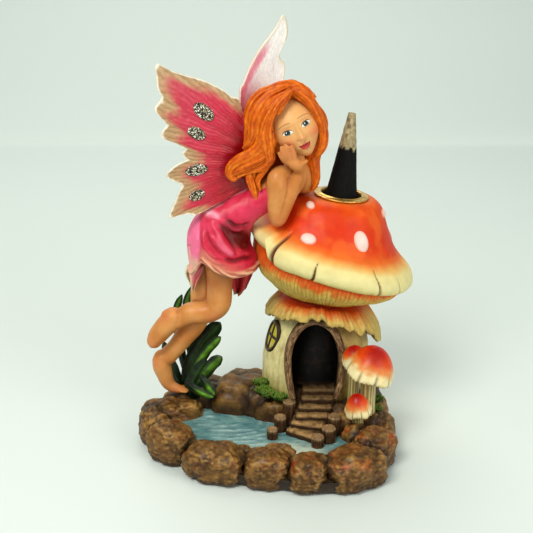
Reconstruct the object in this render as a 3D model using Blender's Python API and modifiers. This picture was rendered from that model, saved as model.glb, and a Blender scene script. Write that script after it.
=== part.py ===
"""Backflow incense burner: a fairy leans on a toadstool house beside a rock-rimmed pond.

Sizes and places are in millimetres, with +X right, +Y away from the front and +Z up.
The origin is the middle of the base, on the surface that it stands on.
Each finished mesh is turned into metres by new_object.
"""
import math

import bmesh
import bpy
from mathutils import Euler, Matrix, Vector, noise

MM = 0.001

# Gap between separate pieces that touch
CLEARANCE = 0.3

# Base and pond
WATER_LEVEL = 7.0
BASE_OUTLINE = [
    (-57, 14), (-59, 5), (-56, -5), (-51, -14), (-44, -23), (-36, -29), (-27, -38), (-18, -42),
    (-7, -45), (6, -48), (18.6, -51), (28, -51), (37, -49), (46, -39), (52, -28), (56.5, -13),
    (59, 2), (58, 14), (54, 27), (47, 38), (34, 47), (18, 51), (0, 49), (-18, 44), (-34, 36), (-48, 25),
]
# Rim rocks as (x, y), (half length, half width, top), turn
RIM_ROCKS = [
    ((-45.5, 10), (15, 8.8, 15.4), 12), ((-52.8, 1), (6.8, 10.5, 14.6), 8), ((-43.2, -16.3), (10.6, 9.6, 15.8), -30),
    ((-22.2, -32.5), (14.8, 9.8, 14.4), -24), ((0.6, -38.2), (11, 9.4, 14.6), -6), ((18.6, -42.2), (9.6, 9.2, 14.2), 4),
    ((38.5, -38.5), (14.6, 10.6, 15.4), 26), ((48.5, -22), (9.4, 9.6, 16.2), 60), ((51, -5), (10.5, 8.4, 15.2), 84),
    ((51, 10.5), (9.6, 7.6, 15.5), 86), ((46.5, 27), (11.5, 8.5, 15), 58), ((32, 42), (12.5, 9, 14.4), 28),
    ((12, 45), (13, 8.8, 14.6), 4), ((-9, 42), (13, 9.2, 14.6), -10), ((-29, 33), (13, 9.2, 15.4), -28),
    ((-42, 18), (10, 6, 14.6), -30),
]
ROCK_SQUARENESS = 2.7
ROCK_ROUGHNESS = 1.6
ROCK_GRAIN = 8.0
# Rocks inside the rim: the bank behind the pond, the ledge and the stepping stone
BANK_ROCKS = [
    ((-15, 17.5), (11.5, 9, 22.6), -8), ((3.5, 8.5), (8.8, 6.5, 16.6), -20), ((-3, 14.6), (9.4, 8, 19.6), -15),
    ((-8, 30), (15, 11, 17), 0), ((-27, 24), (11, 9, 16), -10), ((41, -13), (6.8, 7.6, 13.4), 30),
    ((47, -4), (8, 8, 17), 10), ((38, -6), (6, 5.5, 17.5), 10), ((6.2, -24.5), (8.3, 4.6, 10.2), -18),
    ((-9.5, -25.5), (6.5, 3.2, 10.6), -14), ((-24, -24.5), (5.5, 3, 11.5), -20),
]
MOUND_CENTRE = (27, 25)
MOUND_SIZE = (35, 32, 21)

# House: the bulb of the toadstool, which leans to the right
HOUSE_CENTRE = (24.0, 27.0)
HOUSE_RADIUS = 25.2
HOUSE_BULGE_Z = 33.0
HOUSE_LEAN = 0.075
NECK_RADIUS = 17.5
NECK_Z = 63.0
CHAMBER_RADIUS = 17.0
CHAMBER_FLOOR_Z = 22.0
CHAMBER_TOP_Z = 54.0

# Ragged collar below the gills
COLLAR_RADIUS = 27.5
COLLAR_DROP = 11.0
COLLAR_FRONT_LIFT = 8.0
COLLAR_RAGS = 21
COLLAR_RAG_DEPTH = 1.6

# Cap and gills
CAP_RADIUS = 40.2
CAP_DEPTH_RATIO = 0.9
CAP_TILT = 15.0
BRIM_Z = 85.0
BRIM_THICKNESS = 8.0
GILL_COUNT = 28
GILL_DEPTH = 0.8
TOP_RADIUS = 17.4
TOP_Z = 111.2
TOP_TILT = 6.0
NOTCH_ANGLE = 218.0
NOTCH_DEPTH = 5.0
SPOT_HEIGHT = 0.9
# Spots as (angle, share of the way from the top to the brim), (half width, half height)
CAP_SPOTS = [((228, 0.12), (2.9, 2.1)), ((247, 0.62), (3.9, 3.0)), ((293, 0.5), (3.9, 5.4)),
             ((15, 0.45), (3.6, 4.4)), ((70, 0.55), (4.4, 3.8)), ((120, 0.4), (3.4, 4.2))]

# Dish and cone
DISH_RADIUS = 12.7
DISH_BOWL_RADIUS = 9.4
DISH_DEPTH = 2.6
DISH_SHEET = 0.9
SMOKE_HOLE_RADIUS = 2.0
SMOKE_CHANNEL_RADIUS = 4.0
CONE_RADIUS = 7.4
CONE_TIP_RADIUS = 1.9
CONE_HEIGHT = 40.0
CONE_HOLE_DEPTH = 18.0

# Door, steps and posts
DOOR_X = 22.6
DOOR_HALF_WIDTH = 11.2
DOOR_HALF_HEIGHT = 18.0
DOOR_MIDDLE_Z = 38.0
DOOR_SIDE_DROP = 30.0
DOOR_SILL_Z = 22.6
DOOR_FOOT_Z = 20.4
DOOR_FRAME_WIDTH = 3.2
DOOR_FRAME_PROUD = 1.6
DOOR_LEAN = -7.0
STEP_WIDTH = 15.5
STEP_TREAD = 5.2
# Middle of each step's front edge and its top, from the door down to the water
STEPS = [(24.2, 1.0, 20.2), (22.9, -2.6, 17.4), (21.4, -6.4, 14.8), (18.6, -10.4, 12.4), (15.0, -14.2, 10.0)]
STEP_TURN = -34.0
# Posts beside the steps: (x, y, top, radius)
POSTS = [(10.6, 1.5, 19.0, 3.0), (6.3, -5.7, 14.6, 2.8), (2.7, -12.8, 12.0, 2.5),
         (31.6, -8.5, 16.4, 3.2), (28.4, -15.8, 14.2, 3.2), (23.2, -20.2, 12.2, 2.9)]

# Round window on the left of the wall
WINDOW_RADIUS = 6.4
WINDOW_ANGLE = 213.0
WINDOW_Z = 44.0
WINDOW_FRAME = 1.0

# Small toadstools beside the door: foot, top of the stem, cap radius, cap height, tilt
TOADSTOOLS = [((46.5, -5.0), (47.0, -5.0, 37.0), 11.6, 12.5, 17.0),
              ((42.0, -10.5), (41.8, -12.0, 20.6), 6.2, 8.4, -6.0),
              ((40.5, 1.5), (41.0, 1.0, 40.6), 6.4, 6.4, -10.0)]
STEM_RADIUS = 4.3

# Leaf clump behind the standing leg: tip, half width
LEAF_ROOT = (-32.0, 24.0, 12.0)
LEAF_THICKNESS = 2.4
LEAVES = [((-19.5, 26, 56.0), 4.4), ((-20.5, 21.5, 47.0), 3.8), ((-20.0, 17, 37.5), 3.6),
          ((-36.5, 32, 66.0), 3.6), ((-43.5, 29, 61.0), 3.4), ((-50.0, 25, 39.0), 3.6),
          ((-24.5, 8.5, 16.8), 3.6)]

# Fairy: skin voxel and share of faces kept
SKIN_VOXEL = 0.9
FIGURE_DETAIL = 0.065
FIGURE_Y = 15.0
HEAD_CENTRE = (11.0, 14.0, 145.0)
HEAD_SIZE = (9.0, 9.6, 11.6)
HEAD_ROLL = -29.0
SKIRT_FOLDS = 11
SKIRT_FOLD_DEPTH = 1.3
# Skirt sections from the waist to the hem: x, z, half width, half depth, tilt
SKIRT_RINGS = [(-6.0, 110.5, 7.6, 7.6, 52), (-13.0, 106.5, 9.4, 8.8, 44), (-19.0, 100.5, 12.2, 11.2, 32),
               (-21.5, 93.0, 14.4, 13.0, 16), (-20.8, 86.0, 15.6, 14.0, 5), (-20.0, 79.0, 16.2, 14.6, 0)]
# Limbs and trunk as (x, y, z, radius)
TORSO = [(-16, 15, 104, 8.0), (-8, 15, 110, 7.6), (2, 15, 117, 8.4), (10, 15, 122.5, 8.6),
         (13.6, 15, 128, 5.0), (12.6, 14.5, 137, 4.4)]
NEAR_ARM = [(8.5, 11, 124.5, 3.4), (3.6, 8.5, 121, 4.7), (3.4, 7.5, 112, 4.5), (4.9, 7.8, 103.6, 4.1),
            (7.6, 8.2, 105.6, 3.9), (11.6, 8.2, 118, 3.4), (14.0, 8.4, 129, 2.7), (12.4, 7.6, 134.0, 3.2),
            (9.8, 6.6, 139.0, 2.6), (8.6, 6.4, 142.0, 1.4)]
FAR_ARM = [(14, 19, 124, 4.2), (15, 27, 119, 4.2), (12.5, 37, 113.2, 3.8), (15, 43, 113.6, 3.0),
           (21, 47.5, 112.0, 2.6), (25, 49.5, 110.6, 1.6)]
NEAR_LEG = [(-21, 12.5, 90, 7.0), (-22, 11.5, 78, 6.0), (-22.5, 10.5, 65, 5.3), (-25.5, 10, 60.2, 4.9),
            (-35, 10, 58.2, 4.7), (-42, 10, 56.8, 3.2), (-46.2, 10, 57.8, 3.3), (-50, 10, 51.5, 2.9),
            (-54.0, 10, 43.6, 2.6), (-55.0, 10, 41.0, 1.5)]
FAR_LEG = [(-20, 19, 88, 7.0), (-22, 18.5, 70, 5.8), (-27.5, 17, 56, 5.0), (-36, 16, 45.5, 4.8),
           (-44.5, 15.5, 33.6, 3.2), (-50.5, 15.5, 31.2, 3.2), (-48.6, 15.5, 23.5, 3.0),
           (-45.4, 15.5, 18.9, 2.9), (-40.6, 15.5, 17.6, 1.7)]
REAR_FLAP = [(-20, 18, 84, 5.0), (-16.5, 19, 76, 4.2), (-13.5, 19, 69.5, 2.4), (-12.6, 19, 66.5, 1.2)]
HEM_TAIL = [(-33, 13, 84, 2.6), (-34.6, 12.5, 77, 2.0), (-35.4, 12.5, 73.4, 0.9)]
HAIR_MASS = (8.6, 17.6, 149.4)
HAIR_MASS_SIZE = (14.2, 11.4, 14.6)
HAIR_LOCKS = [
    [(10, 10, 162, 3.0), (1, 7, 158, 4.0), (-4.5, 7, 149, 4.6), (-5.5, 8, 140, 4.4), (-9, 9, 133, 4.0),
     (-14.6, 9, 129, 3.2), (-16.4, 8.6, 125.6, 2.2), (-13.6, 8.2, 123.4, 1.4)],
    [(0, 12, 154, 4.6), (-4, 12, 142, 5.0), (-3.0, 10.5, 132, 4.6), (-5.0, 9.6, 123, 3.4),
     (-4.6, 8.6, 116, 1.8), (-3.6, 8.2, 113, 1.0)],
    [(14, 13, 162, 4.0), (21, 12, 156, 3.8), (24.6, 13, 148, 3.8), (25.0, 14, 139, 3.6),
     (21.6, 15.5, 131.5, 3.4), (22.0, 16, 124, 2.8), (20.2, 16, 117.8, 1.5)],
    [(6, 22, 156, 6.0), (-3, 22, 143, 6.6), (-6, 20, 130, 6.6), (-6.5, 18.5, 121, 4.4), (-7, 18, 115, 1.8)],
    [(15, 22, 154, 6.0), (16, 23, 140, 6.2), (15, 22.5, 128, 4.6), (15, 22, 119, 2.2)],
    [(16, 10.5, 160.5, 2.6), (20.5, 10, 158, 2.4), (22.6, 10, 155.4, 1.0)],
]

# Wings, spread from her back
WING_THICKNESS = 1.5
WING_TAB = 4.0
WING_RIDGE = 0.35
WING_ROOT_TOP = 6.0
WING_ROOT_BOTTOM = -10.0
WING_BEND = 7.0
# Margin from the top of the root round to its bottom: (outward, up) from the middle of the root
WING_MARGIN = [
    (0.0, 16), (3.5, 30), (9, 33), (16, 37.5), (24, 41), (32, 43.5), (36.5, 47), (39, 46.5), (38, 38.5),
    (36, 34), (39.5, 28.5), (36.5, 24), (35, 21), (37.5, 16.5), (32, 12.6), (26.5, 9.2), (28.5, 6.8),
    (26.5, 4.4), (32, 2), (36.5, -1), (33, -4.5), (29, -7.5), (32, -13), (35.5, -20.5), (31.5, -21.5),
    (26, -20.5), (20, -20.6), (15, -18.6), (9, -15.6), (4, -13.4), (0.0, -11.5),
]
WING_MIDDLE = (18, 10)
# Each wing: middle of its root, heading, turn up, length against the near wing
WINGS = {
    "near_wing": ((-8.5, 13.5, 129.5), (-0.97, -0.2), 0.0, 1.0, 1.0),
    "far_wing": ((-9.0, 21.5, 129.5), (0.55, 0.83), 15.0, 1.12, -1.0),
}

CAST_COLOUR = (0.42, 0.27, 0.16, 1.0)
FIGURE_COLOUR = (0.80, 0.42, 0.28, 1.0)
WING_COLOUR = (0.78, 0.12, 0.25, 1.0)
GOLD_COLOUR = (0.83, 0.58, 0.20, 1.0)
CONE_COLOUR = (0.03, 0.03, 0.03, 1.0)


def material(name, colour, roughness, metallic=0.0):
    """A plain Principled material."""
    mat = bpy.data.materials.new(name)
    mat.use_nodes = True
    shader = mat.node_tree.nodes["Principled BSDF"]
    shader.inputs["Base Color"].default_value = colour
    shader.inputs["Roughness"].default_value = roughness
    shader.inputs["Metallic"].default_value = metallic
    return mat


def new_collection(name):
    """A collection linked to the scene."""
    group = bpy.data.collections.new(name)
    bpy.context.scene.collection.children.link(group)
    return group


def new_object(name, bm, group, mat=None):
    """Turn a mesh in millimetres into an object in metres; one without a material is a tool."""
    bmesh.ops.recalc_face_normals(bm, faces=bm.faces)
    mesh = bpy.data.meshes.new(name)
    bm.to_mesh(mesh)
    bm.free()
    mesh.transform(Matrix.Scale(MM, 4))
    obj = bpy.data.objects.new(name, mesh)
    group.objects.link(obj)
    if mat is None:
        obj.hide_render = True
        obj.display_type = 'WIRE'
    else:
        mesh.materials.append(mat)
    return obj


def smooth(obj, angle=40.0):
    """Shade the object smooth, with sharp edges above the angle."""
    obj.data.shade_smooth()
    obj.data.set_sharp_from_angle(angle=math.radians(angle))


def add_boolean(obj, operation, group):
    """Join the group's objects to an object, or cut them from it.

    The exact solver leaves edges with four faces where so many facets cross, so this is the other one.
    """
    mod = obj.modifiers.new(operation.title(), 'BOOLEAN')
    mod.operation = operation
    mod.operand_type = 'COLLECTION'
    mod.collection = group
    mod.solver = 'MANIFOLD'


def loft(rings):
    """A closed mesh through rings of points, with a flat face on both ends."""
    bm = bmesh.new()
    loops = [[bm.verts.new(point) for point in ring] for ring in rings]
    count = len(loops[0])
    for lower, upper in zip(loops, loops[1:]):
        for i in range(count):
            j = (i + 1) % count
            bm.faces.new((lower[i], lower[j], upper[j], upper[i]))
    bm.faces.new(loops[0])
    bm.faces.new(list(reversed(loops[-1])))
    return bm


def ellipsoid(centre, size, turn=(0.0, 0.0, 0.0), segments=12, rings=8):
    """An ellipsoid with its half sizes, turned in degrees."""
    bm = bmesh.new()
    bmesh.ops.create_uvsphere(bm, u_segments=segments, v_segments=rings, radius=1.0)
    turned = Euler([math.radians(angle) for angle in turn]).to_matrix().to_4x4()
    bm.transform(Matrix.Translation(centre) @ turned @ Matrix.Diagonal((*size, 1.0)))
    return bm


def roughen(bm, amount, grain, seed):
    """Push a mesh's points in and out by a smooth noise, for a rocky surface."""
    bm.normal_update()
    shift = Vector((seed * 7.3, seed * 3.1, seed * 5.7))
    for vert in bm.verts:
        vert.co += vert.normal * amount * noise.noise(vert.co / grain + shift)


def tube(points, sides=2, steps=4):
    """A tapered round tube through (x, y, z, radius) points, as a closed mesh."""
    curve = bpy.data.curves.new("tube", 'CURVE')
    curve.dimensions = '3D'
    curve.bevel_depth = 1.0
    curve.bevel_resolution = sides
    curve.resolution_u = steps
    curve.use_fill_caps = True
    spline = curve.splines.new('BEZIER')
    spline.radius_interpolation = 'CARDINAL'
    spline.bezier_points.add(len(points) - 1)
    for knot, (x, y, z, radius) in zip(spline.bezier_points, points):
        knot.co = (x, y, z)
        knot.radius = radius
        knot.handle_left_type = knot.handle_right_type = 'AUTO'
    holder = bpy.data.objects.new("tube", curve)
    bpy.context.scene.collection.objects.link(holder)
    shape = holder.evaluated_get(bpy.context.evaluated_depsgraph_get())
    mesh = bpy.data.meshes.new_from_object(shape)
    bm = bmesh.new()
    bm.from_mesh(mesh)
    bmesh.ops.remove_doubles(bm, verts=bm.verts, dist=0.001)
    bpy.data.objects.remove(holder)
    bpy.data.curves.remove(curve)
    bpy.data.meshes.remove(mesh)
    return bm


def rounded_outline(points, steps=3):
    """A smooth closed line through the points."""
    line = []
    count = len(points)
    for i in range(count):
        p0, p1, p2, p3 = (Vector(points[(i + k - 1) % count]) for k in range(4))
        for step in range(steps):
            t = step / steps
            line.append(0.5 * ((2 * p1) + (p2 - p0) * t + (2 * p0 - 5 * p1 + 4 * p2 - p3) * t * t
                               + (3 * p1 - p0 - 3 * p2 + p3) * t ** 3))
    return line


def house_x(z):
    """Middle of the leaning house at a height."""
    return HOUSE_CENTRE[0] + HOUSE_LEAN * (z - HOUSE_BULGE_Z)


def tilted(x, z, radius, tilt, angle, depth_ratio=1.0):
    """A point of a tilted ring round the house, with its right side lower."""
    turn = math.radians(tilt)
    across = radius * math.cos(angle)
    return Vector((x + across * math.cos(turn),
                   HOUSE_CENTRE[1] + radius * depth_ratio * math.sin(angle),
                   z - across * math.sin(turn)))


def bump(angle, middle, width):
    """One at the middle angle, falling to nothing a width away, both in degrees."""
    apart = abs((math.degrees(angle) - middle + 180) % 360 - 180)
    return max(0.0, 1 - apart / width)


def brim_lift(ring, angle):
    """How far a cap ring's point is raised: the brim waves, and curls up on the left."""
    brim = max(0.0, (ring - 3) / 4)
    return Vector((0, 0, brim * (2.2 * bump(angle, 190, 34) + 0.5 * math.sin(3 * angle + 1))))


def cap_rings():
    """Rings of the cap from its top down to the brim: x, z, radius, tilt."""
    top_x = house_x(TOP_Z) + 4.6
    brim_x = house_x(BRIM_Z) + 2.4
    rise = TOP_Z - BRIM_Z
    return [
        (top_x, TOP_Z, DISH_RADIUS + 1.0, TOP_TILT),
        (top_x - 1.6, TOP_Z - 0.7, TOP_RADIUS, TOP_TILT),
        (top_x - 2.4, TOP_Z - 0.24 * rise, 0.6 * CAP_RADIUS, CAP_TILT - 1.7),
        (brim_x + 1.2, BRIM_Z + 0.44 * rise, 0.77 * CAP_RADIUS, CAP_TILT + 1.5),
        (brim_x, BRIM_Z + 0.2 * rise, 0.91 * CAP_RADIUS, CAP_TILT + 1),
        (brim_x, BRIM_Z + 0.06 * rise, CAP_RADIUS - 0.6, CAP_TILT),
        (brim_x, BRIM_Z - 0.3 * BRIM_THICKNESS, CAP_RADIUS, CAP_TILT),
        (brim_x, BRIM_Z - 0.75 * BRIM_THICKNESS, CAP_RADIUS - 1.6, CAP_TILT),
    ]


def gill_rings():
    """Rings of the gilled underside, from the brim in to the neck."""
    brim_x = house_x(BRIM_Z) + 2.4
    low = BRIM_Z - 0.75 * BRIM_THICKNESS
    drop = low - NECK_Z
    return [
        (brim_x - 0.6, low - 0.02 * drop, CAP_RADIUS - 3.4, CAP_TILT),
        (brim_x - 1.8, low - 0.25 * drop, CAP_RADIUS - 4.4, CAP_TILT - 1.5),
        (brim_x - 2.6, low - 0.52 * drop, CAP_RADIUS - 7.8, CAP_TILT - 3),
        (house_x(NECK_Z) + 1.0, low - 0.8 * drop, 0.5 * (CAP_RADIUS + NECK_RADIUS) - 4.2, CAP_TILT - 6),
        (house_x(NECK_Z) + 0.6, NECK_Z + 0.6, NECK_RADIUS + 1.0, 3.0),
    ]


def collar_rings():
    """Rings of the ragged collar, from the neck out to its lip and back under."""
    x = house_x(NECK_Z)
    mid = 0.5 * (NECK_RADIUS + COLLAR_RADIUS)
    return [
        (x, NECK_Z - 1.2, NECK_RADIUS, 3.0, 0.0), (x + 0.4, NECK_Z - 0.36 * COLLAR_DROP, mid, 7.0, 0.45),
        (x + 0.8, NECK_Z - COLLAR_DROP, COLLAR_RADIUS, 10.0, 1.0),
        (x + 0.8, NECK_Z - COLLAR_DROP - 1.6, COLLAR_RADIUS - 1.2, 10.0, 1.0),
        (x + 0.2, NECK_Z - 0.6 * COLLAR_DROP - 2.0, mid - 1.2, 6.0, 0.5),
    ]


def wall_rings():
    """Rings of the bulging wall, from below the collar to the ground."""
    shares = [(0.82, 0.8), (0.55, 0.93), (0.25, 0.99), (0.0, 1.0), (-0.4, 0.965), (-0.95, 0.88)]
    neck_side = NECK_Z - HOUSE_BULGE_Z
    return [(house_x(HOUSE_BULGE_Z + s * neck_side), HOUSE_BULGE_Z + s * neck_side, r * HOUSE_RADIUS, 0.0)
            for s, r in shares]


def toadstool_cap(segments=2 * GILL_COUNT):
    """The cap and its gills, down to the flat joint on the neck."""
    angles = [2 * math.pi * i / segments for i in range(segments)]
    rings = []
    for k, (x, z, radius, tilt) in enumerate(cap_rings()):
        ring = []
        for angle in angles:
            cut = NOTCH_DEPTH * bump(angle, NOTCH_ANGLE, 9) * max(0.0, (k - 3) / 4)
            ring.append(tilted(x, z, radius - cut, tilt, angle, CAP_DEPTH_RATIO) + brim_lift(k, angle))
        rings.append(ring)
    for k, (x, z, radius, tilt) in enumerate(gill_rings()):
        ring = []
        for i, angle in enumerate(angles):
            rib = GILL_DEPTH * (0.5 if 0 < k < 4 else 0.0) * (1 if i % 2 else -1)
            ring.append(tilted(x, z, radius + rib, tilt, angle, CAP_DEPTH_RATIO))
        rings.append(ring)
    return loft(rings)


def toadstool_house(segments=2 * GILL_COUNT):
    """The neck, collar and wall as one body turned round its leaning stem."""
    angles = [2 * math.pi * i / segments for i in range(segments)]
    joint = gill_rings()[-1]
    rings = [[tilted(joint[0], joint[1] - CLEARANCE, NECK_RADIUS, joint[3], angle, CAP_DEPTH_RATIO) for angle in angles]]
    for x, z, radius, tilt, flare in collar_rings():
        ring = []
        for angle in angles:
            front = max(0.0, -math.sin(angle)) ** 2
            rag = COLLAR_RAG_DEPTH * math.sin(COLLAR_RAGS * angle + 2 * math.sin(3 * angle))
            tip = 5.5 * bump(angle, 335, 16) + 2.5 * bump(angle, 185, 14)
            point = tilted(x, z, radius + flare * (0.5 * rag + 0.35 * tip), tilt, angle)
            ring.append(point + Vector((0, 0, flare * (COLLAR_FRONT_LIFT * front + rag - tip))))
        rings.append(ring)
    for x, z, radius, tilt in wall_rings():
        rings.append([tilted(x, z, radius, tilt, angle) for angle in angles])
    return loft(rings)


def cap_body(grow, segments=2 * GILL_COUNT):
    """The cap and gills alone, grown outwards, to cut the figure's seat."""
    angles = [2 * math.pi * i / segments for i in range(segments)]
    cap = cap_rings()
    rings = []
    for k, (x, z, radius, tilt) in enumerate(cap + gill_rings()):
        up = grow if k < 5 else (0.0 if k < 7 else -grow)
        side = 1.5 * grow + (0.5 * GILL_DEPTH if k >= len(cap) else 0.0)
        rings.append([tilted(x, z + up, radius + side, tilt, angle, CAP_DEPTH_RATIO)
                      + (brim_lift(k, angle) if k < len(cap) else Vector()) for angle in angles])
    return loft(rings)


def surface_point(angle_deg, share):
    """A point of the cap at an angle, a share of the way from its top to its brim, and its outward turn."""
    rings = cap_rings()[1:6]
    place = share * (len(rings) - 1)
    k = min(int(place), len(rings) - 2)
    angle = math.radians(angle_deg)
    here = [tilted(*ring, angle, CAP_DEPTH_RATIO) for ring in rings]
    point = here[k].lerp(here[k + 1], place - k)
    down = (here[k + 1] - here[k]).normalized()
    around = Vector((-math.sin(angle), math.cos(angle), 0))
    return point, around, around.cross(down) * -1


def rock(place, size, turn, seed, grow=0.0):
    """A squarish boulder standing on the base, given the height of its top."""
    half = 0.62 * size[2]
    bm = ellipsoid((0, 0, 0), (1, 1, 1), (0, 0, 0), 14, 9)
    for vert in bm.verts:
        vert.co /= sum(abs(value) ** ROCK_SQUARENESS for value in vert.co) ** (1 / ROCK_SQUARENESS)
    bm.transform(Matrix.Translation((*place, size[2] - half)) @ Matrix.Rotation(math.radians(turn), 4, 'Z')
                 @ Matrix.Diagonal((size[0] + grow, size[1] + grow, half + grow, 1)))
    roughen(bm, ROCK_ROUGHNESS, ROCK_GRAIN, seed)
    return bm


def base_plate():
    """The flat ground of the base, whose top is the water."""
    line = rounded_outline(BASE_OUTLINE)
    inner = [point * 0.97 for point in line]
    return loft([[(*point, WATER_LEVEL) for point in line], [(*point, 2.0) for point in line],
                 [(*point, -1.0) for point in inner]])


def step_boxes():
    """The steps, each a block turned a little more than the one above."""
    blocks = []
    for i, (x, y, top) in enumerate(STEPS):
        bm = bmesh.new()
        bmesh.ops.create_cube(bm, size=1.0)
        turn = math.radians(STEP_TURN) * max(0.0, (i - 2) / (len(STEPS) - 3)) ** 1.2
        length = 2 * STEP_TREAD
        centre = Vector((x, y, 0.5 * (top + 3))) + Matrix.Rotation(turn, 3, 'Z') @ Vector((0, 0.5 * length, 0))
        size = Matrix.Diagonal((STEP_WIDTH, length, top - 3, 1.0))
        bm.transform(Matrix.Translation(centre) @ Matrix.Rotation(turn, 4, 'Z') @ size)
        blocks.append(bm)
    return blocks


def post(x, y, top, radius):
    """A sawn log standing beside the steps."""
    bm = bmesh.new()
    height = top - 2
    bmesh.ops.create_cone(bm, cap_ends=True, segments=10, radius1=radius * 1.05, radius2=radius, depth=height)
    bm.transform(Matrix.Translation((x, y, 2 + 0.5 * height)))
    return bm


def door_place():
    """Where the door's arch stands, leaning back with the wall."""
    front_y = HOUSE_CENTRE[1] - HOUSE_RADIUS
    return (Matrix.Translation((DOOR_X, front_y + DOOR_FRAME_PROUD, DOOR_MIDDLE_Z))
            @ Matrix.Rotation(math.radians(DOOR_LEAN), 4, 'X'))


def door_arch(grow, count=25):
    """Points of the door's arch in its own plane, from foot to foot: its sides draw in below the middle."""
    low = math.asin((DOOR_MIDDLE_Z - DOOR_FOOT_Z) / DOOR_SIDE_DROP)
    points = []
    for i in range(count):
        angle = (math.pi + 2 * low) * i / (count - 1) - low
        rise = DOOR_HALF_HEIGHT + grow if math.sin(angle) > 0 else DOOR_SIDE_DROP
        points.append(((DOOR_HALF_WIDTH + grow) * math.cos(angle), rise * math.sin(angle)))
    return points


def door_frame():
    """The wooden frame: an egg-shaped arch round the door."""
    inside = 0.6 * HOUSE_RADIUS
    section = [(1.0, inside), (1.0, -1.0 * DOOR_FRAME_PROUD), (0.7, -1.3 * DOOR_FRAME_PROUD), (0.0, -DOOR_FRAME_PROUD), (0.0, inside)]
    lines = [[(x, depth, z) for x, z in door_arch(share * DOOR_FRAME_WIDTH)] for share, depth in section]
    return loft([[door_place() @ Vector(line[i]) for line in lines] for i in range(len(lines[0]))])


def door_block(grow, depths, lowest):
    """A block in the shape of the door, grown outwards, between two depths."""
    rings = []
    for depth in depths:
        ring = [door_place() @ Vector((x, depth, z)) for x, z in door_arch(grow)]
        rings.append([(point.x, point.y, max(point.z, lowest + 0.01 * i)) for i, point in enumerate(ring)])
    return loft(rings)


def chamber_cutter():
    """The smoke chamber inside the house, open below for the base's floor."""
    x, y = house_x(CHAMBER_FLOOR_Z), HOUSE_CENTRE[1]
    return loft([[(x + radius * math.cos(math.radians(15 * i)), y + radius * math.sin(math.radians(15 * i)), z)
                  for i in range(24)] for z, radius in
                 [(0, CHAMBER_RADIUS), (CHAMBER_FLOOR_Z, CHAMBER_RADIUS), (CHAMBER_TOP_Z, 0.66 * CHAMBER_RADIUS)]])


def house_seat():
    """The house's foot, grown by the clearance, to cut its socket in the base."""
    rings = wall_rings()
    count = 2 * GILL_COUNT
    lowered = [0.0] * (len(rings) - 1) + [CLEARANCE]
    return loft([[tilted(x, z - low, radius + 1.5 * CLEARANCE, tilt, 2 * math.pi * i / count) for i in range(count)]
                 for (x, z, radius, tilt), low in zip(rings, lowered)])


def house_floor():
    """The floor of the smoke chamber, a round plug of the base."""
    bm = bmesh.new()
    bmesh.ops.create_cone(bm, cap_ends=True, segments=24, radius1=CHAMBER_RADIUS - 2 * CLEARANCE,
                          radius2=CHAMBER_RADIUS - 2 * CLEARANCE, depth=CHAMBER_FLOOR_Z - 2)
    bm.transform(Matrix.Translation((house_x(CHAMBER_FLOOR_Z), HOUSE_CENTRE[1], 0.5 * CHAMBER_FLOOR_Z + 1)))
    return bm


def dish_place():
    """Middle of the cap's flat top, with the dish's tilt."""
    x, z, radius, tilt = cap_rings()[0]
    return Matrix.Translation((x, HOUSE_CENTRE[1], z)) @ Matrix.Rotation(math.radians(tilt), 4, 'Y')


def turned(profile, segments=32):
    """A closed turned body from (radius, height) points that start and end on the axis or make a loop."""
    bm = bmesh.new()
    loops = []
    for radius, height in profile:
        if radius == 0:
            loops.append([bm.verts.new((0, 0, height))])
        else:
            loops.append([bm.verts.new((radius * math.cos(2 * math.pi * i / segments),
                                        radius * math.sin(2 * math.pi * i / segments), height))
                          for i in range(segments)])
    pairs = list(zip(loops, loops[1:]))
    if profile[0][0] and profile[-1][0]:
        pairs.append((loops[-1], loops[0]))
    for lower, upper in pairs:
        for i in range(segments):
            j = (i + 1) % segments
            corners = [lower[i % len(lower)], lower[j % len(lower)], upper[j % len(upper)], upper[i % len(upper)]]
            bm.faces.new(list(dict.fromkeys(corners)))
    return bm


def dish():
    """The pressed metal dish: a flange on the cap, a shallow bowl and a smoke hole."""
    lift = CLEARANCE
    bowl = DISH_BOWL_RADIUS
    bm = turned([(DISH_RADIUS, lift), (DISH_RADIUS, lift + DISH_SHEET), (bowl + 0.6, lift + 1.5 * DISH_SHEET),
                 (bowl - 0.5, lift + DISH_SHEET), (bowl - DISH_SHEET, lift + DISH_SHEET - DISH_DEPTH),
                 (SMOKE_HOLE_RADIUS, lift + DISH_SHEET - DISH_DEPTH), (SMOKE_HOLE_RADIUS, lift - DISH_DEPTH),
                 (bowl, lift - DISH_DEPTH), (bowl, lift)])
    bm.transform(dish_place())
    return bm


def cone():
    """The incense cone standing in the dish, hollow below for the smoke."""
    foot = 2 * CLEARANCE + DISH_SHEET - DISH_DEPTH
    hole = SMOKE_HOLE_RADIUS
    bm = turned([(0, foot + CONE_HOLE_DEPTH), (0.55 * hole, foot + CONE_HOLE_DEPTH - 1.5), (hole, foot),
                 (CONE_RADIUS, foot), (CONE_RADIUS, foot + 0.8),
                 (CONE_TIP_RADIUS, foot + CONE_HEIGHT - 0.8), (0, foot + CONE_HEIGHT)], segments=28)
    bm.transform(dish_place())
    return bm


def cap_spot(angle, share, half_width, half_height):
    """A raised oval spot on the cap."""
    point, around, outward = surface_point(angle, share)
    up = outward.cross(around)
    frame = Matrix((around, up, outward)).transposed().to_4x4()
    bm = bmesh.new()
    bmesh.ops.create_uvsphere(bm, u_segments=10, v_segments=4, radius=1.0)
    size = Matrix.Diagonal((half_width, half_height, 2 * SPOT_HEIGHT, 1.0))
    bm.transform(Matrix.Translation(point - outward * SPOT_HEIGHT) @ frame @ size)
    return bm


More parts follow.
